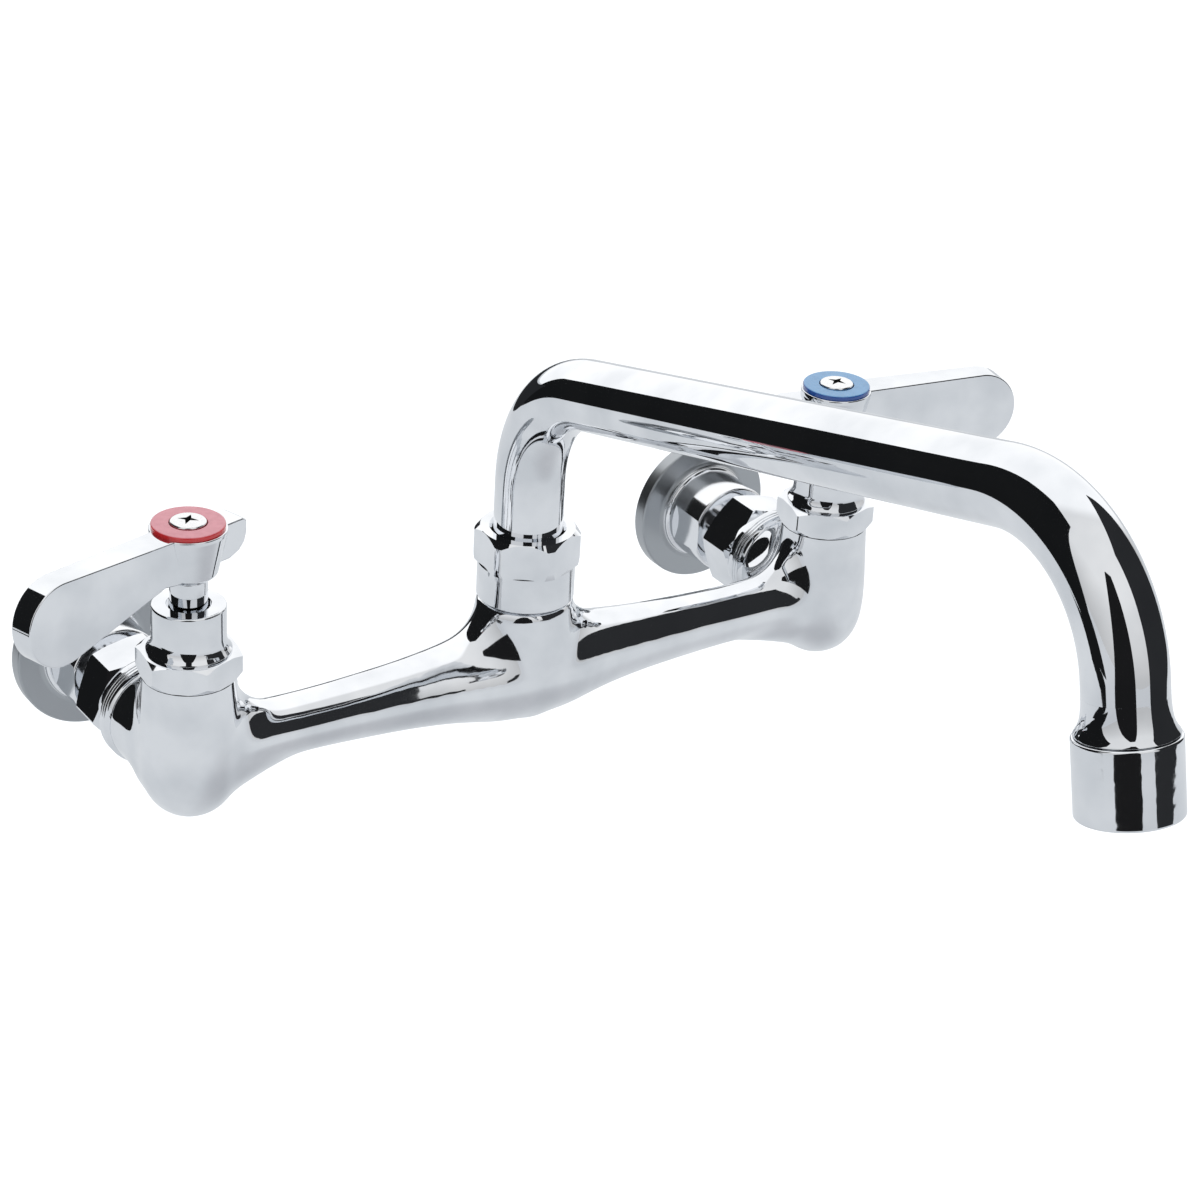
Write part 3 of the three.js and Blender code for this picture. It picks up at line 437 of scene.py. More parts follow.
# A casting is ground freehand, so its mirror waves and every band in it wanders a little.
cast_chrome = chromium_plate(
    "polished_cast_chrome", roughness=0.045, swell=0.03, swell_width=14,
)
dress(casting, cast_chrome, "body", "chrome", "body_casting")


# --- Wall flanges ---------------------------------------------------------------------------
# Turned from brass: a round rim against the wall, a neck with two wrench flats and a threaded
# end for the union nut. Chromium plated, bright along the neck and satin on the rim.
flange_radius = 21.98
flange_thickness = 4.2
pipe_socket_radius = 10.7
flange_neck_radius = 13.5
flange_neck_end = 20
union_thread_radius = 10.3
union_thread_end = 33
waterway_radius = 6.8
wrench_flats = 25.0
wrench_flat_length = 12.8
wrench_flat_middle = 14.2
rim_starts, rim_is_full = 14.4, 14.9  # the radii between which the finish changes
lathe_feed = 0.25
ring_depth = 0.004
neck_roughness, rim_roughness = 0.1, 0.3

# Turned work is truer than a casting, so its mirror hardly waves.
turned_chrome = chromium_plate(
    "bright_turned_chrome", roughness=0.03, swell=0.006, swell_width=10,
)
flange_chrome, shader = blank_material("satin_turned_chrome")
shader.inputs["Metallic"].default_value = 1
place = add_node(flange_chrome, "ShaderNodeTexCoord")
coordinate = add_node(flange_chrome, "ShaderNodeSeparateXYZ", {}, {0: place.outputs["Object"]})
from_middle = add_node(
    flange_chrome, "ShaderNodeMath", {"operation": "ABSOLUTE"}, {0: coordinate.outputs["X"]},
)
from_axis = add_node(
    flange_chrome, "ShaderNodeMath", {"operation": "SUBTRACT"}, {0: from_middle.outputs[0]},
)
from_axis.inputs[1].default_value = half_span * MM
section = add_node(
    flange_chrome, "ShaderNodeCombineXYZ", {},
    {"X": from_axis.outputs[0], "Z": coordinate.outputs["Z"]},
)
radius = add_node(
    flange_chrome, "ShaderNodeVectorMath", {"operation": "LENGTH"}, {0: section.outputs[0]},
)
on_rim = add_node(
    flange_chrome, "ShaderNodeMapRange",
    {"From Min": rim_starts * MM, "From Max": rim_is_full * MM},
    {"Value": radius.outputs["Value"]},
)
# The lathe leaves rings one feed apart on the rim and along the neck.
along = add_node(
    flange_chrome, "ShaderNodeMix", {},
    {"Factor": on_rim.outputs["Result"], "A": coordinate.outputs["Y"],
     "B": radius.outputs["Value"]},
)
turns = add_node(
    flange_chrome, "ShaderNodeMath", {"operation": "MULTIPLY"}, {0: along.outputs["Result"]},
)
turns.inputs[1].default_value = 1 / (lathe_feed * MM)
rings = add_node(
    flange_chrome, "ShaderNodeTexNoise", {"noise_dimensions": "1D", "Scale": 1, "Detail": 2},
    {"W": turns.outputs[0]},
)
ring_relief = add_node(
    flange_chrome, "ShaderNodeBump", {"Strength": 1, "Distance": ring_depth * MM},
    {"Height": rings.outputs["Fac"]},
)
# The rim is rougher and greyer than the neck.
satin = add_node(
    flange_chrome, "ShaderNodeMapRange", {"To Min": neck_roughness, "To Max": rim_roughness},
    {"Value": on_rim.outputs["Result"]},
)
dulled = add_node(
    flange_chrome, "ShaderNodeMix", {"data_type": "RGBA"},
    {"Factor": on_rim.outputs["Result"]},
)
dulled.inputs[mix_a].default_value = srgb("#EAECEF")
dulled.inputs[mix_b].default_value = srgb("#AAAEB2")
links = flange_chrome.node_tree.links
links.new(satin.outputs["Result"], shader.inputs["Roughness"])
links.new(dulled.outputs[mix_result], shader.inputs["Base Color"])
links.new(ring_relief.outputs["Normal"], shader.inputs["Normal"])
cutter_width = 10
for side in ("hot", "cold"):
    rim = turned([
        (pipe_socket_radius, 0), (flange_radius, 0.01), (flange_radius, flange_thickness, 0.6),
        (15.4, flange_thickness, 0.8), (14.5, 5.0), (14.4, 5.7, 0.25), (13.7, 6.0),
        (flange_neck_radius, flange_neck_end, 0.9), (union_thread_radius, flange_neck_end),
        (union_thread_radius, union_thread_end, 0.5), (waterway_radius, union_thread_end),
        (waterway_radius, 16), (10.4, 14), (pipe_socket_radius, 0),
    ])
    flange = stand_alone(f"{side}_flange", placed(rim, turn(90, "X")))
    for edge in (-1, 1):
        flat = bmesh.new()
        bmesh.ops.create_cube(flat, size=1)
        placed(
            flat, Matrix.Diagonal((cutter_width * MM, wrench_flat_length * MM, 40 * MM, 1)),
            move(edge * (wrench_flats + cutter_width) / 2 * MM, -wrench_flat_middle * MM, 0),
        )
        combine(flange, "DIFFERENCE", flat)
    flange.data.transform(move(valve_axis[side].x, 0, 0))
    soften(flange, 0.25)
    dress(flange, flange_chrome, "body", "chrome", f"{side}_wall_flange")


# --- Union nuts -----------------------------------------------------------------------------
# Hexagonal brass nuts with a round collar, which draw the body onto the flanges. Their corners
# are chamfered on both faces.
def hexagon(across_flats, bottom, top, corner_angle, blank):
    """A turned blank milled to a hexagon between two heights, with a corner at an angle. The
    blank is a profile for turned(), which chamfers the corners."""
    bar = bmesh.new()
    bmesh.ops.create_circle(
        bar, cap_ends=True, segments=6, radius=across_flats / math.sqrt(3) * MM,
        matrix=turn(corner_angle - 90, "Z"),
    )
    side_walls = bmesh.ops.extrude_face_region(bar, geom=bar.faces[:])
    lifted = [item for item in side_walls["geom"] if isinstance(item, bmesh.types.BMVert)]
    bmesh.ops.translate(bar, vec=(0, 0, (top - bottom) * MM), verts=lifted)
    placed(bar, move(0, 0, bottom * MM))
    bmesh.ops.recalc_face_normals(bar, faces=bar.faces[:])
    piece = stand_alone("hexagon", bar)
    combine(piece, "INTERSECT", turned(blank))
    return piece


union_nut_turn = {"hot": 12, "cold": 48}
collar_end = 40.5
nut_thread_radius = 10.6
nut_lip_radius = 8.9
for side in ("hot", "cold"):
    nut = hexagon(
        across_flats=26.5, bottom=25, top=37.5, corner_angle=union_nut_turn[side], blank=[
            (0, 24.9), (13.3, 24.9), (15.1, 25.9), (15.1, 36.5), (13.3, 37.6), (0, 37.6),
        ],
    )
    collar = turned([
        (0, 36), (13.2, 36), (13.7, 38, 0.4), (13.8, collar_end, 0.6), (0, collar_end),
    ])
    thread_bore = turned([
        (0, 24), (nut_thread_radius, 24), (nut_thread_radius, 38.15), (nut_lip_radius, 38.15),
        (nut_lip_radius, collar_end + 0.5), (0, collar_end + 0.5),
    ])
    combine(nut, "UNION", collar)
    combine(nut, "DIFFERENCE", thread_bore)
    nut.name = f"{side}_union_nut"
    nut.data.transform(move(valve_axis[side].x, 0, 0) @ turn(90, "X"))
    soften(nut, 0)
    dress(nut, turned_chrome, "body", "chrome", f"{side}_coupling_nut")


# --- Working parts inside -------------------------------------------------------------------
# The cartridges, washers, O-rings and discs, which hardly show from outside, keep their CAD
# solids, each with the material of the real one.
def plain_finish(name, hex_colour, roughness, metallic, grain, grain_depth):
    """A moulded, ground or machined surface: one colour with a fine grain, both in mm."""
    material, shader = blank_material(name)
    shader.inputs["Metallic"].default_value = metallic
    place = add_node(material, "ShaderNodeTexCoord")
    speckle = add_node(
        material, "ShaderNodeTexNoise", {"Scale": 1 / (grain * MM), "Detail": 4},
        {"Vector": place.outputs["Object"]},
    )
    tint = add_node(
        material, "ShaderNodeMix",
        {"data_type": "RGBA", "blend_type": "MULTIPLY"},
        {"Factor": speckle.outputs["Fac"]},
    )
    tint.inputs[mix_a].default_value = srgb(hex_colour)
    tint.inputs[mix_b].default_value = srgb("#E4E4E4")
    wear = add_node(
        material, "ShaderNodeMapRange",
        {"To Min": roughness * 0.8, "To Max": min(1, roughness * 1.25)},
        {"Value": speckle.outputs["Fac"]},
    )
    relief = add_node(
        material, "ShaderNodeBump", {"Strength": 1, "Distance": grain_depth * MM},
        {"Height": speckle.outputs["Fac"]},
    )
    links = material.node_tree.links
    links.new(tint.outputs[mix_result], shader.inputs["Base Color"])
    links.new(wear.outputs["Result"], shader.inputs["Roughness"])
    links.new(relief.outputs["Normal"], shader.inputs["Normal"])
    return material


# Moulded rubber is matt and nearly black, acetal waxy and off-white, and lapped ceramic smooth
# as china. Machined brass is yellow with a soft sheen, and tumbled steel grey with a dim one.
# Their real grain is too fine to show, so it is drawn as coarse as it needs to be.
nitrile_rubber = plain_finish(
    "moulded_nitrile_rubber", "#232325", roughness=0.6, metallic=0, grain=0.4, grain_depth=0.01,
)
acetal = plain_finish(
    "moulded_acetal", "#E6E3DA", roughness=0.42, metallic=0, grain=0.8, grain_depth=0.006,
)
alumina = plain_finish(
    "lapped_alumina_ceramic", "#F0EDE6", roughness=0.18, metallic=0, grain=0.6,
    grain_depth=0.001,
)
machined_brass = plain_finish(
    "machined_brass", "#C8A457", roughness=0.28, metallic=1, grain=0.9, grain_depth=0.004,
)
stainless = plain_finish(
    "tumbled_stainless_steel", "#BFC2C6", roughness=0.24, metallic=1, grain=0.7,
    grain_depth=0.003,
)

inside = {
    nitrile_rubber: [
        "hot_inlet_washer", "cold_inlet_washer", "hot_seat_seal", "cold_seat_seal",
        "hot_stem_o_ring", "cold_stem_o_ring", "lower_spout_o_ring", "upper_spout_o_ring",
        "aerator_gasket",
    ],
    acetal: [
        "hot_guide_bush", "cold_guide_bush", "lower_swivel_washer", "upper_swivel_washer",
        "aerator_insert",
    ],
    alumina: ["hot_fixed_disc", "cold_fixed_disc", "hot_moving_disc", "cold_moving_disc"],
    machined_brass: ["hot_cartridge_body", "cold_cartridge_body", "spout_tailpiece"],
    stainless: ["hot_retaining_ring", "cold_retaining_ring"],
}
for material, nodes in inside.items():
    for node in nodes:
        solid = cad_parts[node]
        solid.data.materials.clear()
        solid.data.materials.append(material)


# --- Bonnets --------------------------------------------------------------------------------
# Turned from hexagonal brass bar: a low hexagon, a dished foot and a round cap whose top is
# counterbored round the stem. They hold the cartridges down in the towers.
bonnet_turn = {"hot": 23, "cold": 19}
cap_radius = 9.72
cap_top = 42.1
bonnet_thread_radius = 10.5
cartridge_bore = 8.6
stem_bore = 5.25
counterbore_radius = 5.9
for side in ("hot", "cold"):
    bonnet = hexagon(
        across_flats=24.5, bottom=21.8, top=29.0, corner_angle=bonnet_turn[side], blank=[
            (0, 21.7), (12.35, 21.7), (14.0, 23.6), (14.0, 28.1), (12.4, 29.1), (0, 29.1),
        ],
    )
    cap = turned([
        (0, 28), (11.2, 28), (11.2, 29.5, 0.2), (10.1, 30.9, 0.8), (cap_radius, 32.6, 0.6),
        (cap_radius, cap_top, 0.6), (0, cap_top),
    ])
    skirt = turned([
        (0, 13.3), (bonnet_thread_radius, 13.3), (bonnet_thread_radius, 23), (0, 23),
    ], 64)
    bore = turned([
        (0, 12), (cartridge_bore, 12), (cartridge_bore, 38.9), (stem_bore, 38.9),
        (stem_bore, 40.9), (counterbore_radius, 40.9), (counterbore_radius, 43), (0, 43),
    ], 64)
    combine(bonnet, "UNION", cap, skirt)
    combine(bonnet, "DIFFERENCE", bore)
    bonnet.name = f"{side}_bonnet_cap"
    bonnet.data.transform(move(valve_axis[side].x, axis_depth, 0))
    soften(bonnet, 0)
    dress(bonnet, turned_chrome, "body", "chrome", f"{side}_bonnet")


# --- Stems ----------------------------------------------------------------------------------
# Turned brass stems that carry the lever: a foot with a driving tongue inside the cartridge, a
# plain bright shaft through the bonnet, and a narrower top inside the lever's hub.
lever_turn = {"hot": 180 + 18.0, "cold": -12.6}  # degrees from +X, when closed
stem_radius = 4.95
seal_groove_radius = 3.65
stem_foot_radius = 7.2
stem_tip_radius = 4
stem_tip = 60
screw_hole_radius = 2.2
tongue_length, tongue_thickness, tongue_height = 13.4, 3, 3.1
tongue_middle = 9.05
for side in ("hot", "cold"):
    shaft = turned([
        (0, 10.1), (stem_foot_radius, 10.1), (stem_foot_radius, 13.7), (stem_radius, 13.7),
        (stem_radius, 18), (seal_groove_radius, 18), (seal_groove_radius, 20),
        (stem_radius, 20), (stem_radius, 49.5, 0.3), (stem_tip_radius, 49.5),
        (stem_tip_radius, stem_tip, 0.3), (0, stem_tip),
    ], 64)
    tongue = bmesh.new()
    bmesh.ops.create_cube(tongue, size=1)
    placed(
        tongue,
        Matrix.Diagonal((tongue_length * MM, tongue_thickness * MM, tongue_height * MM, 1)),
        move(0, 0, tongue_middle * MM),
    )
    screw_hole = turned([
        (0, 52.7), (screw_hole_radius, 52.7), (screw_hole_radius, stem_tip + 1),
        (0, stem_tip + 1),
    ], 32)
    stem = stand_alone(f"{side}_spindle", shaft)
    combine(stem, "UNION", tongue)
    combine(stem, "DIFFERENCE", screw_hole)
    stem.data.transform(
        move(valve_axis[side].x, axis_depth, 0) @ turn(lever_turn[side], "Z"),
    )
    soften(stem, 0)
    stem.data.set_sharp_from_angle(angle=math.radians(40))
    dress(stem, turned_chrome, f"{side}_valve", "chrome", f"{side}_stem")


# --- Lever handles --------------------------------------------------------------------------
# Die-cast zinc levers: a coned hub, a slab-sided blade that deepens to a round end, and a short
# tab behind. The edges are buffed over and the whole is chromium plated.
blade_end_radius = 11.35
blade_end_reach = 44.7
blade_end_height = 53.5
blade_root = (0.0, 63.6)
blade_heel = (12.0, 51.9)
hub_bottom_height = 49.85
hub_top_height = 63.7
blade_root_width = 9.2
blade_end_width = 7.1
tab_width = 7.8


def slab(bm, half_width, rim):
    """Gives a flat outline, drawn in X and Z, a thickness of twice half_width(x) about it, and
    rounds the rims of its two sides by rim mm."""
    face = bmesh.ops.contextual_create(bm, geom=bm.edges[:])["faces"]
    bmesh.ops.translate(bm, vec=(0, -MM, 0), verts=bm.verts[:])
    grown = bmesh.ops.extrude_face_region(bm, geom=face)["geom"]
    far_side = [item for item in grown if isinstance(item, bmesh.types.BMVert)]
    bmesh.ops.translate(bm, vec=(0, 2 * MM, 0), verts=far_side)
    for vert in bm.verts:
        vert.co.y *= half_width(vert.co.x / MM)
    bmesh.ops.recalc_face_normals(bm, faces=bm.faces[:])
    sides = sorted(bm.faces, key=lambda side: len(side.verts))[-2:]
    bmesh.ops.bevel(
        bm, geom=[edge for side in sides for edge in side.edges], offset=rim * MM,
        offset_type="OFFSET", segments=5, profile=0.5, affect="EDGES", material=-1,
        clamp_overlap=True,
    )
    return bm


def blade_half_width(reach):
    taper = (blade_root_width - blade_end_width) / blade_end_reach
    return (blade_root_width - taper * reach) / 2


def blade():
    """The lever's blade: a round end with its two long edges tangent to it."""
    bm = bmesh.new()
    centre = Vector((blade_end_reach, 0, blade_end_height)) * MM
    bmesh.ops.create_circle(
        bm, segments=90, radius=blade_end_radius * MM,
        matrix=Matrix.Translation(centre) @ turn(90, "X"),
    )
    # The arc between the tangent points on the hub's side is open.
    open_side = []
    for start, side in ((blade_root, 1), (blade_heel, -1)):
        across, up = blade_end_reach - start[0], blade_end_height - start[1]
        lean = math.atan2(up, across)
        lean += side * math.asin(blade_end_radius / math.hypot(across, up))
        open_side.append(lean + side * math.pi / 2)
    top_angle, bottom_angle = open_side[0], open_side[1] % (2 * math.pi)
    bmesh.ops.delete(
        bm,
        geom=[
            vert for vert in bm.verts
            if top_angle < math.atan2(*(vert.co - centre).zx) % (2 * math.pi) < bottom_angle
        ],
        context="VERTS",
    )
    ends = sorted((v for v in bm.verts if len(v.link_edges) == 1), key=lambda v: v.co.z)
    root = [bm.verts.new((x * MM, 0, z * MM)) for x, z in (
        blade_heel, (8.4, 51.3), (0, 51.1), blade_root,
    )]
    for start, end in zip([ends[0], *root], [*root, ends[1]]):
        bm.edges.new((start, end))
    return slab(bm, blade_half_width, 0.4)


def rear_tab():
    """The short tab behind the hub; its root lies inside the blade."""
    bm = bmesh.new()
    outline = [
        (3, 52.2), (3, 62.4), (-15.6, 62.2), (-16.6, 61.7), (-17, 60.9), (-17, 58.0),
        (-16.2, 55.4), (-14.4, 53.5), (-11, 52.2),
    ]
    corners = [bm.verts.new((x * MM, 0, z * MM)) for x, z in outline]
    for start, end in zip(corners, corners[1:] + corners[:1]):
        bm.edges.new((start, end))
    return slab(bm, lambda reach: tab_width / 2, 0.5)


# Buffed by hand on a soft wheel: bright, with softer waves than the ground casting.
lever_chrome = chromium_plate(
    "buffed_die_cast_chrome", roughness=0.05, swell=0.02, swell_width=12,
)
for side in ("hot", "cold"):
    hub_cone = turned([
        (0, hub_bottom_height), (5.9, hub_bottom_height, 0.3), (7.5, 51.2, 0.5),
        (10.1, 62.7, 0.3), (10.05, hub_top_height, 0.3), (0, hub_top_height),
    ])
    socket = turned([(0, 49), (4.3, 49), (4.3, 60.3), (2.3, 60.3), (2.3, 64), (0, 64)], 64)
    lever = stand_alone(f"{side}_lever", blade())
    combine(lever, "UNION", rear_tab(), hub_cone)
    combine(lever, "DIFFERENCE", socket)
    lever.data.transform(
        move(valve_axis[side].x, axis_depth, 0) @ turn(lever_turn[side], "Z"),
    )
    soften(lever, 0)
    dress(lever, lever_chrome, f"{side}_valve", "chrome", f"{side}_handle")


# --- Index rings ----------------------------------------------------------------------------
# Thin aluminium rings on the levers' hubs, red for hot and blue for cold. The face is a
# glossy enamel whose colour is lightened by a painted sheen, and the rim below it is deeper in
# colour.
ring_bottom = 63.75
ring_top = 65.0
ring_bore = 4.95
ring_radius = 9.5


def enamel(name, hex_colour, pooled_hex, rim_hex):
    """Enamel whose face clouds slightly and is lightened by a painted sheen, and whose rim, below
    the face, is deeper in colour.
    """
    material, shader = blank_material(name)
    shader.inputs["Roughness"].default_value = 0.22
    shader.inputs["Coat Weight"].default_value = 0.5
    shader.inputs["Coat Roughness"].default_value = 0.08
    place = add_node(material, "ShaderNodeTexCoord")
    cloud = add_node(
        material, "ShaderNodeTexNoise", {"Scale": 1 / (2.5 * MM), "Detail": 3},
        {"Vector": place.outputs["Object"]},
    )
    shade = add_node(
        material, "ShaderNodeValToRGB", {}, {"Fac": cloud.outputs["Fac"]},
    )
    shade.color_ramp.elements[0].position = 0.3
    shade.color_ramp.elements[0].color = srgb(pooled_hex)
    shade.color_ramp.elements[1].position = 0.6
    shade.color_ramp.elements[1].color = srgb(hex_colour)
    height = add_node(material, "ShaderNodeSeparateXYZ", {}, {0: place.outputs["Object"]})
    # The painted sheen covers the face, down to a fifth of a millimetre below its top.
    sheen_painted_face = add_node(
        material, "ShaderNodeMapRange",
        {"From Min": (ring_top - 0.2) * MM, "From Max": (ring_top - 0.02) * MM},
        {"Value": height.outputs["Z"]},
    )
    tint = add_node(
        material, "ShaderNodeMix", {"data_type": "RGBA"}, {"Factor": sheen_painted_face.outputs["Result"]},
    )
    tint.inputs[mix_a].default_value = srgb(rim_hex)
    links = material.node_tree.links
    links.new(shade.outputs["Color"], tint.inputs[mix_b])
    links.new(tint.outputs[mix_result], shader.inputs["Base Color"])
    return material


# The first two colours of each, for the face, are lightened by a painted sheen.
index_enamel = {
    "hot": enamel("red_enamel", "#CF7E8B", "#C4717F", "#C4282C"),
    "cold": enamel("blue_enamel", "#5494C6", "#4888BA", "#1F4A94"),
}
for side in ("hot", "cold"):
    ring = stand_alone(f"{side}_index_ring", turned([
        (ring_bore, ring_bottom), (ring_radius, ring_bottom), (ring_radius, ring_top, 0.4),
        (ring_bore, ring_top, 0.15), (ring_bore, ring_bottom),
    ]))
    ring.data.transform(move(valve_axis[side].x, axis_depth, 0))
    soften(ring, 0)
    dress(ring, index_enamel[side], f"{side}_valve", f"{side}_index", f"{side}_index_button")


# --- Handle screws --------------------------------------------------------------------------
# Stainless oval-head machine screws with a cross recess, which pull the levers down onto the
# stems. Their heads are bright, and the recess is a painted shade, near black. The grain
# of both is drawn coarser than it is.
bright_screw = plain_finish(
    "bright_stainless_steel", "#F2F3F4", roughness=0.12, metallic=1, grain=0.5,
    grain_depth=0.0003,
)
# A near-black painted shade for the cross recesses.
recess_painted_shade = plain_finish(
    "painted_recess_shade", "#1B1A1A", roughness=0.6, metallic=0, grain=0.3, grain_depth=0.004,
)
cross_turn = {"hot": 32, "cold": 40}
screw_end = 53.0
screw_radius = 1.9
head_bottom = 64.0
head_radius = 4.7
wing_reach = {"bottom": 1.8, "top": 3.2}
wing_depth = 3
wing_slimness = 0.3
wing_middle = 65
for side in ("hot", "cold"):
    head = turned([
        (0, screw_end), (screw_radius, screw_end, 0.3), (screw_radius, head_bottom),
        (head_radius, head_bottom), (head_radius, 65.3, 0.2), (4.3, 65.6, 0.2), (0, 65.95),
    ], 64)
    screw = stand_alone(f"{side}_screw", head)
    for angle in (0, 90):
        wing = bmesh.new()
        bmesh.ops.create_cone(
            wing, cap_ends=True, segments=4, radius1=wing_reach["bottom"] * MM,
            radius2=wing_reach["top"] * MM, depth=wing_depth * MM,
        )
        placed(
            wing, Matrix.Diagonal((1, wing_slimness, 1, 1)),
            turn(angle + cross_turn[side], "Z"), move(0, 0, wing_middle * MM),
        )
        combine(screw, "DIFFERENCE", wing)
    screw.data.transform(
        move(valve_axis[side].x, axis_depth, 0) @ turn(lever_turn[side], "Z"),
    )
    soften(screw, 0)
    dress(screw, bright_screw, f"{side}_valve", "stainless", f"{side}_handle_screw")
    screw.data.materials.append(recess_painted_shade)
    # The recess's faces, which take the painted shade, lie near the axis, between its floor and
    # the domed top.
    for face in screw.data.polygons:
        from_axis = face.center - valve_axis[side]
        in_recess = math.hypot(from_axis.x, from_axis.y) < 3.0 * MM
        if in_recess and 63.4 * MM < face.center.z < 65.7 * MM:
            face.material_index = 1


# --- Spout nut ------------------------------------------------------------------------------
# Turned from hexagonal bar: a round skirt below, a hexagon chamfered on both faces, and a lip
# inside that holds the swivel down. Screwed onto the hub's spigot.
skirt_bottom = 21.9
skirt_radius = 13.4
hexagon_bottom = 32.0
spigot_thread_radius = 11.6
lip_radius = 9.75
nut = hexagon(
    across_flats=26.1, bottom=hexagon_bottom, top=42.2, corner_angle=25, blank=[
        (0, 31.9), (14.2, 31.9), (14.5, 33.2, 1), (14.5, 40.5), (12.9, 42.3), (0, 42.3),
    ],
)
skirt = turned([
    (0, skirt_bottom), (skirt_radius, skirt_bottom, 0.4), (skirt_radius, hexagon_bottom),
    (0, hexagon_bottom),
])
bore = turned([
    (0, 21), (spigot_thread_radius, 21), (spigot_thread_radius, 37.8), (lip_radius, 37.8),
    (lip_radius, 41.4), (11, 42.7), (0, 42.7),
])
combine(nut, "UNION", skirt)
combine(nut, "DIFFERENCE", bore)
nut.name = "swivel_nut"
nut.data.transform(move(0, axis_depth, 0))
soften(nut, 0)
dress(nut, turned_chrome, "body", "chrome", "spout_nut")


# --- Spout tube -----------------------------------------------------------------------------
# Drawn brass tube, 19 mm across with a 1.2 mm wall, bent twice over formers: straight up out
# of the hub, out along a rising run, and down to the outlet.
tube_radius = 9.45
tube_wall = 1.2
tube_bottom = 36.5
riser_top = 56.0
first_bend_radius = 36.15
run_rise = 14.8
run_length = 167.6
last_bend_radius = 35.8
outlet_tilt = 13.7
drop_length = 7.4

tube = bmesh.new()
bmesh.ops.create_circle(
    tube, segments=80, radius=tube_radius * MM,
    matrix=move(0, axis_depth, tube_bottom * MM),
)
tube_end = tube.edges[:]
heading = math.pi / 2
walked = Vector((0, axis_depth, tube_bottom * MM))


def forwards():
    return Vector((0, -math.cos(heading), math.sin(heading)))


def draw_straight(length, steps):
    global tube_end, walked
    for _ in range(steps):
        grown = bmesh.ops.extrude_edge_only(tube, edges=tube_end)["geom"]
        verts = [item for item in grown if isinstance(item, bmesh.types.BMVert)]
        tube_end = [
            item for item in grown
            if isinstance(item, bmesh.types.BMEdge) and all(v in verts for v in item.verts)
        ]
        bmesh.ops.translate(tube, vec=forwards() * length * MM / steps, verts=verts)
        walked = walked + forwards() * length * MM / steps


def bend_over(radius, degrees, steps):
    global tube_end, walked, heading
    inwards = Vector((0, -math.sin(heading), -math.cos(heading)))
    centre = walked + inwards * radius * MM
    ring = tube_end + list({vert for edge in tube_end for vert in edge.verts})
    last = bmesh.ops.spin(
        tube, geom=ring, cent=centre, axis=(1, 0, 0), angle=math.radians(degrees), steps=steps,
    )["geom_last"]
    tube_end = [item for item in last if isinstance(item, bmesh.types.BMEdge)]
    walked = centre + turn(degrees, "X") @ (walked - centre)
    heading -= math.radians(degrees)


draw_straight(riser_top - tube_bottom, 3)
bend_over(first_bend_radius, 90 - run_rise, 30)
draw_straight(run_length, 20)
bend_over(last_bend_radius, 90 + run_rise - outlet_tilt, 34)
draw_straight(drop_length, 1)
bmesh.ops.recalc_face_normals(tube, faces=tube.faces[:])
spout = stand_alone("bent_spout", tube)
wall = spout.modifiers.new("wall", "SOLIDIFY")
wall.thickness = tube_wall * MM
wall.offset = -1
settle(spout)
spout.data.set_sharp_from_angle(angle=math.radians(50))
# Drawn tube is the truest of all: its bands run clean from end to end.
drawn_chrome = chromium_plate(
    "polished_drawn_chrome", roughness=0.025, swell=0.004, swell_width=30,
)
dress(spout, drawn_chrome, "spout", "chrome", "spout_tube")


# --- Outlet ---------------------------------------------------------------------------------
# A flared brass ferrule brazed on the tube's end, and the aerator's housing screwed onto it: a
# plain bright ring with broken edges. Heights run along the outlet's axis from its top rim.
housing_below_tube = 4.8
outlet_seat = (
    Matrix.Translation(walked) @ turn(-outlet_tilt, "X") @ move(0, 0, -housing_below_tube * MM)
)
ferrule_bore = 6.4
ferrule_thread_radius = 10.5
ferrule_spigot_radius = 7.7
flare = [
    (11.5, 0.3, 0.15), (11.3, 0.8), (10.85, 1.4), (10.4, 2.2), (10.03, 3.2), (9.75, 4.5),
    (9.58, 5.9), (9.49, 7.3), (9.46, 8.6), (tube_radius, 8.6),
]
ferrule = stand_alone("flared_ferrule", turned([
    (ferrule_bore, -7), (ferrule_thread_radius, -7), (ferrule_thread_radius, 0.3), *flare,
    (tube_radius, 5.0), (ferrule_spigot_radius, 5.0), (ferrule_spigot_radius, 9.5),
    (ferrule_bore, 9.5), (ferrule_bore, -7),
]))
ferrule.data.transform(outlet_seat)
ferrule.data.set_sharp_from_angle(angle=math.radians(40))
dress(ferrule, drawn_chrome, "spout", "chrome", "outlet_ferrule")

housing_radius = 11.98
housing_bore = 10.83
housing_length = 17.9
housing_lip_radius = 9.4
housing = stand_alone("aerator_ring", turned([
    (housing_bore, 0, 0.2), (housing_bore, -16.7), (housing_lip_radius, -16.7, 0.2),
    (housing_lip_radius, -housing_length, 0.3), (housing_radius, -housing_length, 0.6),
    (housing_radius, 0, 0.6), (housing_bore, 0),
]))
housing.data.transform(outlet_seat)
soften(housing, 0)
# A pressed shell keeps a fine ripple from its die, which frays the bands' edges.
pressed_chrome = chromium_plate(
    "rippled_pressed_chrome", roughness=0.06, swell=0.05, swell_width=3.2,
)
dress(housing, pressed_chrome, "spout", "chrome", "aerator_housing")

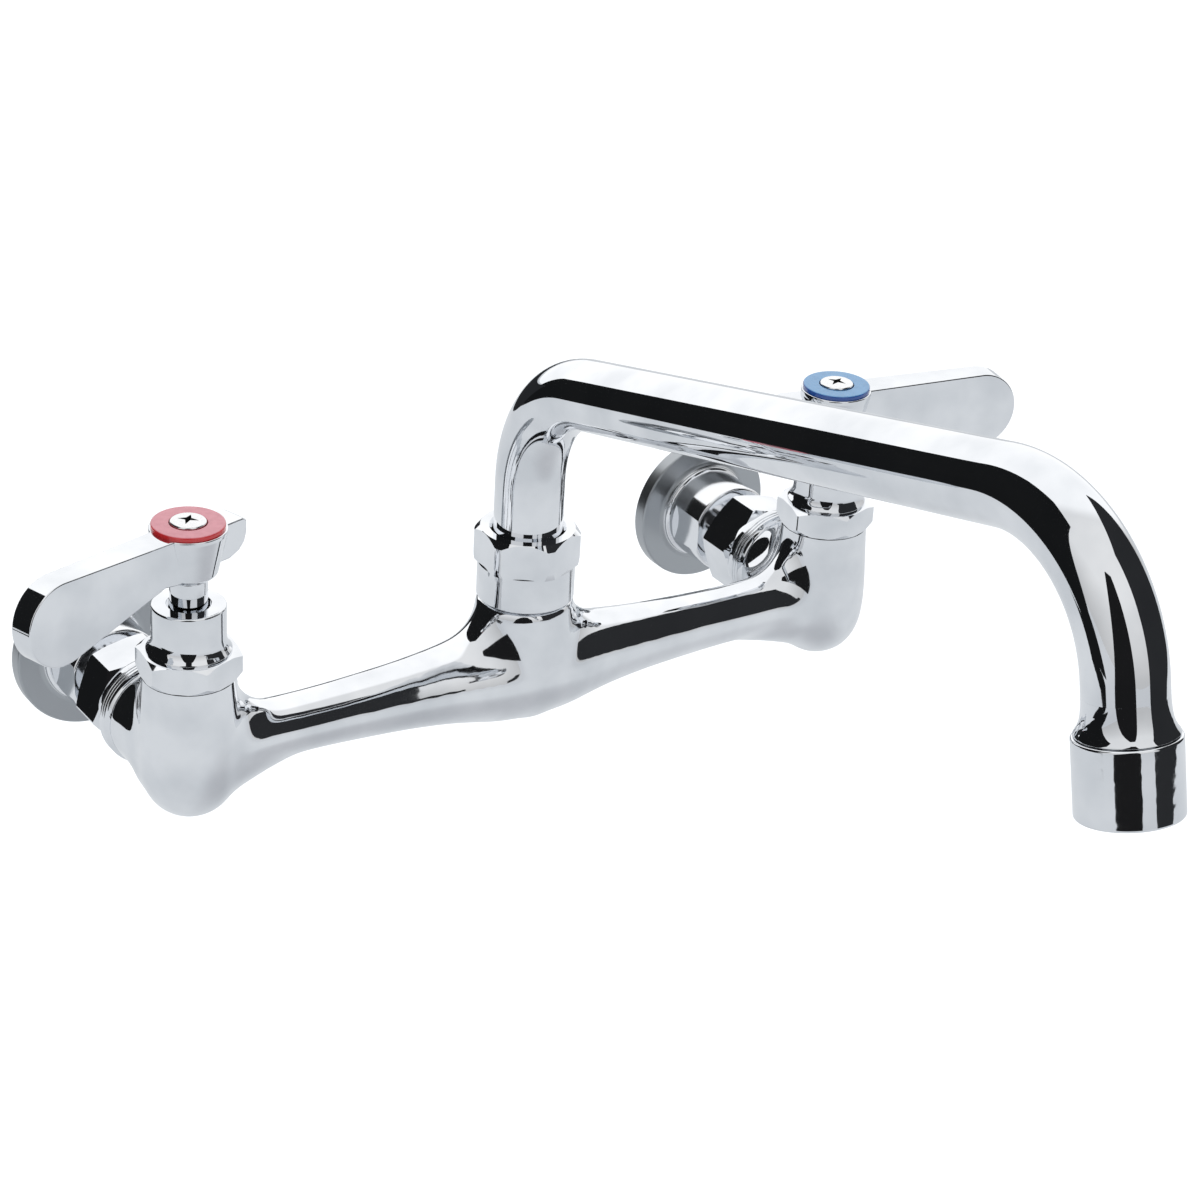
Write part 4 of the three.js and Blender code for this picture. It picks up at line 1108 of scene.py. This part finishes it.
# The screen: a gauze of square meshes in steel wire, held in a rim.
mesh_pitch = 1.05
mesh_wire = 0.32
gauze_radius = 10.1
gauze_height = -15.85
screen_radius = 10.5
screen_window_radius = 9.3
screen_bottom = -16.2
screen_top = -15.5
gauze = bmesh.new()
bmesh.ops.create_grid(
    gauze, x_segments=20, y_segments=20, size=10 * mesh_pitch * MM,
)
bmesh.ops.delete(
    gauze, geom=[v for v in gauze.verts if v.co.length > gauze_radius * MM], context="VERTS",
)
screen = stand_alone("screen_gauze", placed(gauze, move(0, 0, gauze_height * MM)))
wires = screen.modifiers.new("wires", "WIREFRAME")
wires.thickness = mesh_wire * MM
wires.use_replace = True
wires.use_boundary = True
settle(screen)
rim = turned([
    (screen_window_radius, screen_bottom), (screen_radius, screen_bottom, 0.1),
    (screen_radius, screen_top, 0.1), (screen_window_radius, screen_top),
    (screen_window_radius, screen_bottom),
], 48)
rim.from_mesh(screen.data)
rim.to_mesh(screen.data)
rim.free()
screen.data.transform(outlet_seat)
dress(screen, stainless, "spout", "stainless", "aerator_screen")


# --- Studio ---------------------------------------------------------------------------------
# A white table in a pale tent, lit by one wide soft light from behind and above on the right.
# Three standing black cards, a low one and a strip on the table draw the dark bands in the
# chrome. The table is overexposed to the camera alone, and keeps the object's shadow.
def black_card(name, azimuth, distance, lean, corners, hex_colour):
    """A flat black card that only the chrome sees. It stands in the direction azimuth from a
    point 100 mm in front of the wall, distance mm away along a line that rises by lean degrees;
    its corners are mm across and up."""
    bm = bmesh.new()
    bm.faces.new([bm.verts.new((across * MM, 0, up * MM)) for across, up in corners])
    placed(
        bm, move(0, distance * MM, 0), turn(lean, "X"), turn(-azimuth, "Z"),
        move(0, -100 * MM, 0),
    )
    card = stand_alone(name, bm)
    card.visible_camera = False
    card.visible_diffuse = False
    card.visible_shadow = False
    material, shader = blank_material(name)
    shader.inputs["Base Color"].default_value = (0, 0, 0, 1)
    shader.inputs["Specular IOR Level"].default_value = 0
    shader.inputs["Emission Color"].default_value = srgb(hex_colour)
    shader.inputs["Emission Strength"].default_value = 1
    card.data.materials.append(material)


table_height = -175
black_card(
    "left_rear_card", azimuth=-54.3, distance=807, lean=-6.2, corners=[
        (-1030, -205), (806, -215), (595, 570), (174, 1401), (-253, 1980), (-822, 1920),
        (-575, 118), (-1010, -105),
    ], hex_colour="#191A1B",
)
# This one lies flat, a millimetre above the table.
black_card(
    "left_foot_card", azimuth=0, distance=-table_height - 1, lean=-90, corners=[
        (-610, 300), (-620, 160), (-700, 80), (-735, 0), (-775, -110), (-840, -245),
        (-1010, -245), (-1060, -150), (-979, -4), (-784, 268),
    ], hex_colour="#191A1B",
)
black_card(
    "camera_side_card", azimuth=-147.7, distance=958, lean=-15.9, corners=[
        (-388, 149), (416, 108), (294, 1083), (144, 2176), (84, 2228), (-247, 2246),
    ], hex_colour="#1D1D1E",
)
black_card(
    "right_front_card", azimuth=121.6, distance=420, lean=-1.4, corners=[
        (-111, 13), (200, 33), (225, 15), (495, 15), (495, 70), (408, 84), (384, 352),
        (293, 756), (-19, 752), (-304, 707),
    ], hex_colour="#2D2E30",
)
black_card(
    "rear_low_card", azimuth=-2.6, distance=958, lean=-2.8, corners=[
        (-532, -320), (686, -45), (397, 60), (-662, 130),
    ], hex_colour="#292A2C",
)

table_half_width = 8  # metres, so that its edge stays out of sight
overexposure = 0.4
# The middle of the painted shadow and of the painted shade on the table, which only the chrome
# sees.
painted_shade_middle = (60 * MM, -200 * MM, table_height * MM)
painted_shadow_full, painted_shadow_gone = 0.03, 0.23  # metres from its middle
shade_starts, shade_full = 0.6, 1.9  # metres from the same point
table = bmesh.new()
bmesh.ops.create_grid(table, x_segments=1, y_segments=1, size=table_half_width)
placed(table, move(0, 0, table_height * MM))
pale_floor = stand_alone("pale_floor", table)
table_white, shader = blank_material("white_laminate_table")
shader.inputs["Roughness"].default_value = 0.9
shader.inputs["Specular IOR Level"].default_value = 0
shader.inputs["Emission Color"].default_value = srgb("#FFFFFF")
eye = add_node(table_white, "ShaderNodeLightPath")
overexposed = add_node(
    table_white, "ShaderNodeMath", {"operation": "MULTIPLY"}, {0: eye.outputs["Is Camera Ray"]},
)
overexposed.inputs[1].default_value = overexposure
table_white.node_tree.links.new(overexposed.outputs[0], shader.inputs["Emission Strength"])
# The chrome alone sees a painted shadow of the object on the table beneath it, which darkens
# the object's underside, and painted shade on the far table.
where = add_node(table_white, "ShaderNodeTexCoord")
from_middle = add_node(
    table_white, "ShaderNodeVectorMath", {"operation": "DISTANCE"},
    {0: where.outputs["Object"]},
)
from_middle.inputs[1].default_value = painted_shade_middle
painted_shadow_under_object = add_node(
    table_white, "ShaderNodeMapRange",
    {"interpolation_type": "SMOOTHSTEP", "From Min": painted_shadow_full, "From Max": painted_shadow_gone,
     "To Min": 1, "To Max": 0},
    {"Value": from_middle.outputs["Value"]},
)
# Painted shade on the far table, deeper with distance.
far_painted_shade = add_node(
    table_white, "ShaderNodeMapRange",
    {"From Min": shade_starts, "From Max": shade_full, "To Max": 0.45},
    {"Value": from_middle.outputs["Value"]},
)
painted_shade_sum = add_node(
    table_white, "ShaderNodeMath", {"operation": "ADD"},
    {0: painted_shadow_under_object.outputs["Result"], 1: far_painted_shade.outputs["Result"]},
)
painted_shade_in_reflections = add_node(
    table_white, "ShaderNodeMath", {"operation": "MULTIPLY"},
    {0: painted_shade_sum.outputs[0], 1: eye.outputs["Is Glossy Ray"]},
)
# For glossy rays the table's white is darkened by the painted shadow and the painted shade.
table_colour_with_painted_shade = add_node(
    table_white, "ShaderNodeMix", {"data_type": "RGBA"}, {"Factor": painted_shade_in_reflections.outputs[0]},
)
table_colour_with_painted_shade.inputs[mix_a].default_value = srgb("#E1E4E7")
table_colour_with_painted_shade.inputs[mix_b].default_value = srgb("#CBCDD1")
table_white.node_tree.links.new(table_colour_with_painted_shade.outputs[mix_result], shader.inputs["Base Color"])
pale_floor.data.materials.append(table_white)

# The tent is dimmer near the table than overhead. The soft light is a round patch of it.
soft_light_direction = (0.181, 0.864, 0.469)
soft_light_level = 1.22
studio = bpy.data.worlds.new("studio")
studio.use_nodes = True
direction = add_node(studio, "ShaderNodeTexCoord")
facing = add_node(studio, "ShaderNodeVectorMath", {"operation": "DOT_PRODUCT"},
                  {0: direction.outputs["Generated"]})
facing.inputs[1].default_value = soft_light_direction
soft_light = add_node(
    studio, "ShaderNodeMapRange",
    {"interpolation_type": "SMOOTHSTEP", "From Min": 0.42, "From Max": 0.56},
    {"Value": facing.outputs["Value"]},
)
height = add_node(studio, "ShaderNodeSeparateXYZ", {}, {0: direction.outputs["Generated"]})
tent = add_node(
    studio, "ShaderNodeMapRange", {"From Min": 0, "From Max": 0.6, "To Min": 0.64, "To Max": 0.92},
    {"Value": height.outputs["Z"]},
)
level = add_node(studio, "ShaderNodeMix", {"B": soft_light_level}, {
    "Factor": soft_light.outputs["Result"], "A": tent.outputs["Result"],
})
seen = add_node(studio, "ShaderNodeLightPath")
shown = add_node(studio, "ShaderNodeMix", {"B": 1.0}, {
    "Factor": seen.outputs["Is Camera Ray"], "A": level.outputs["Result"],
})
studio.node_tree.links.new(
    shown.outputs["Result"], studio.node_tree.nodes["Background"].inputs["Strength"],
)
studio.node_tree.nodes["Background"].inputs["Color"].default_value = srgb("#FFFFFF")
bpy.context.scene.world = studio

bpy.context.scene.view_settings.view_transform = "Standard"
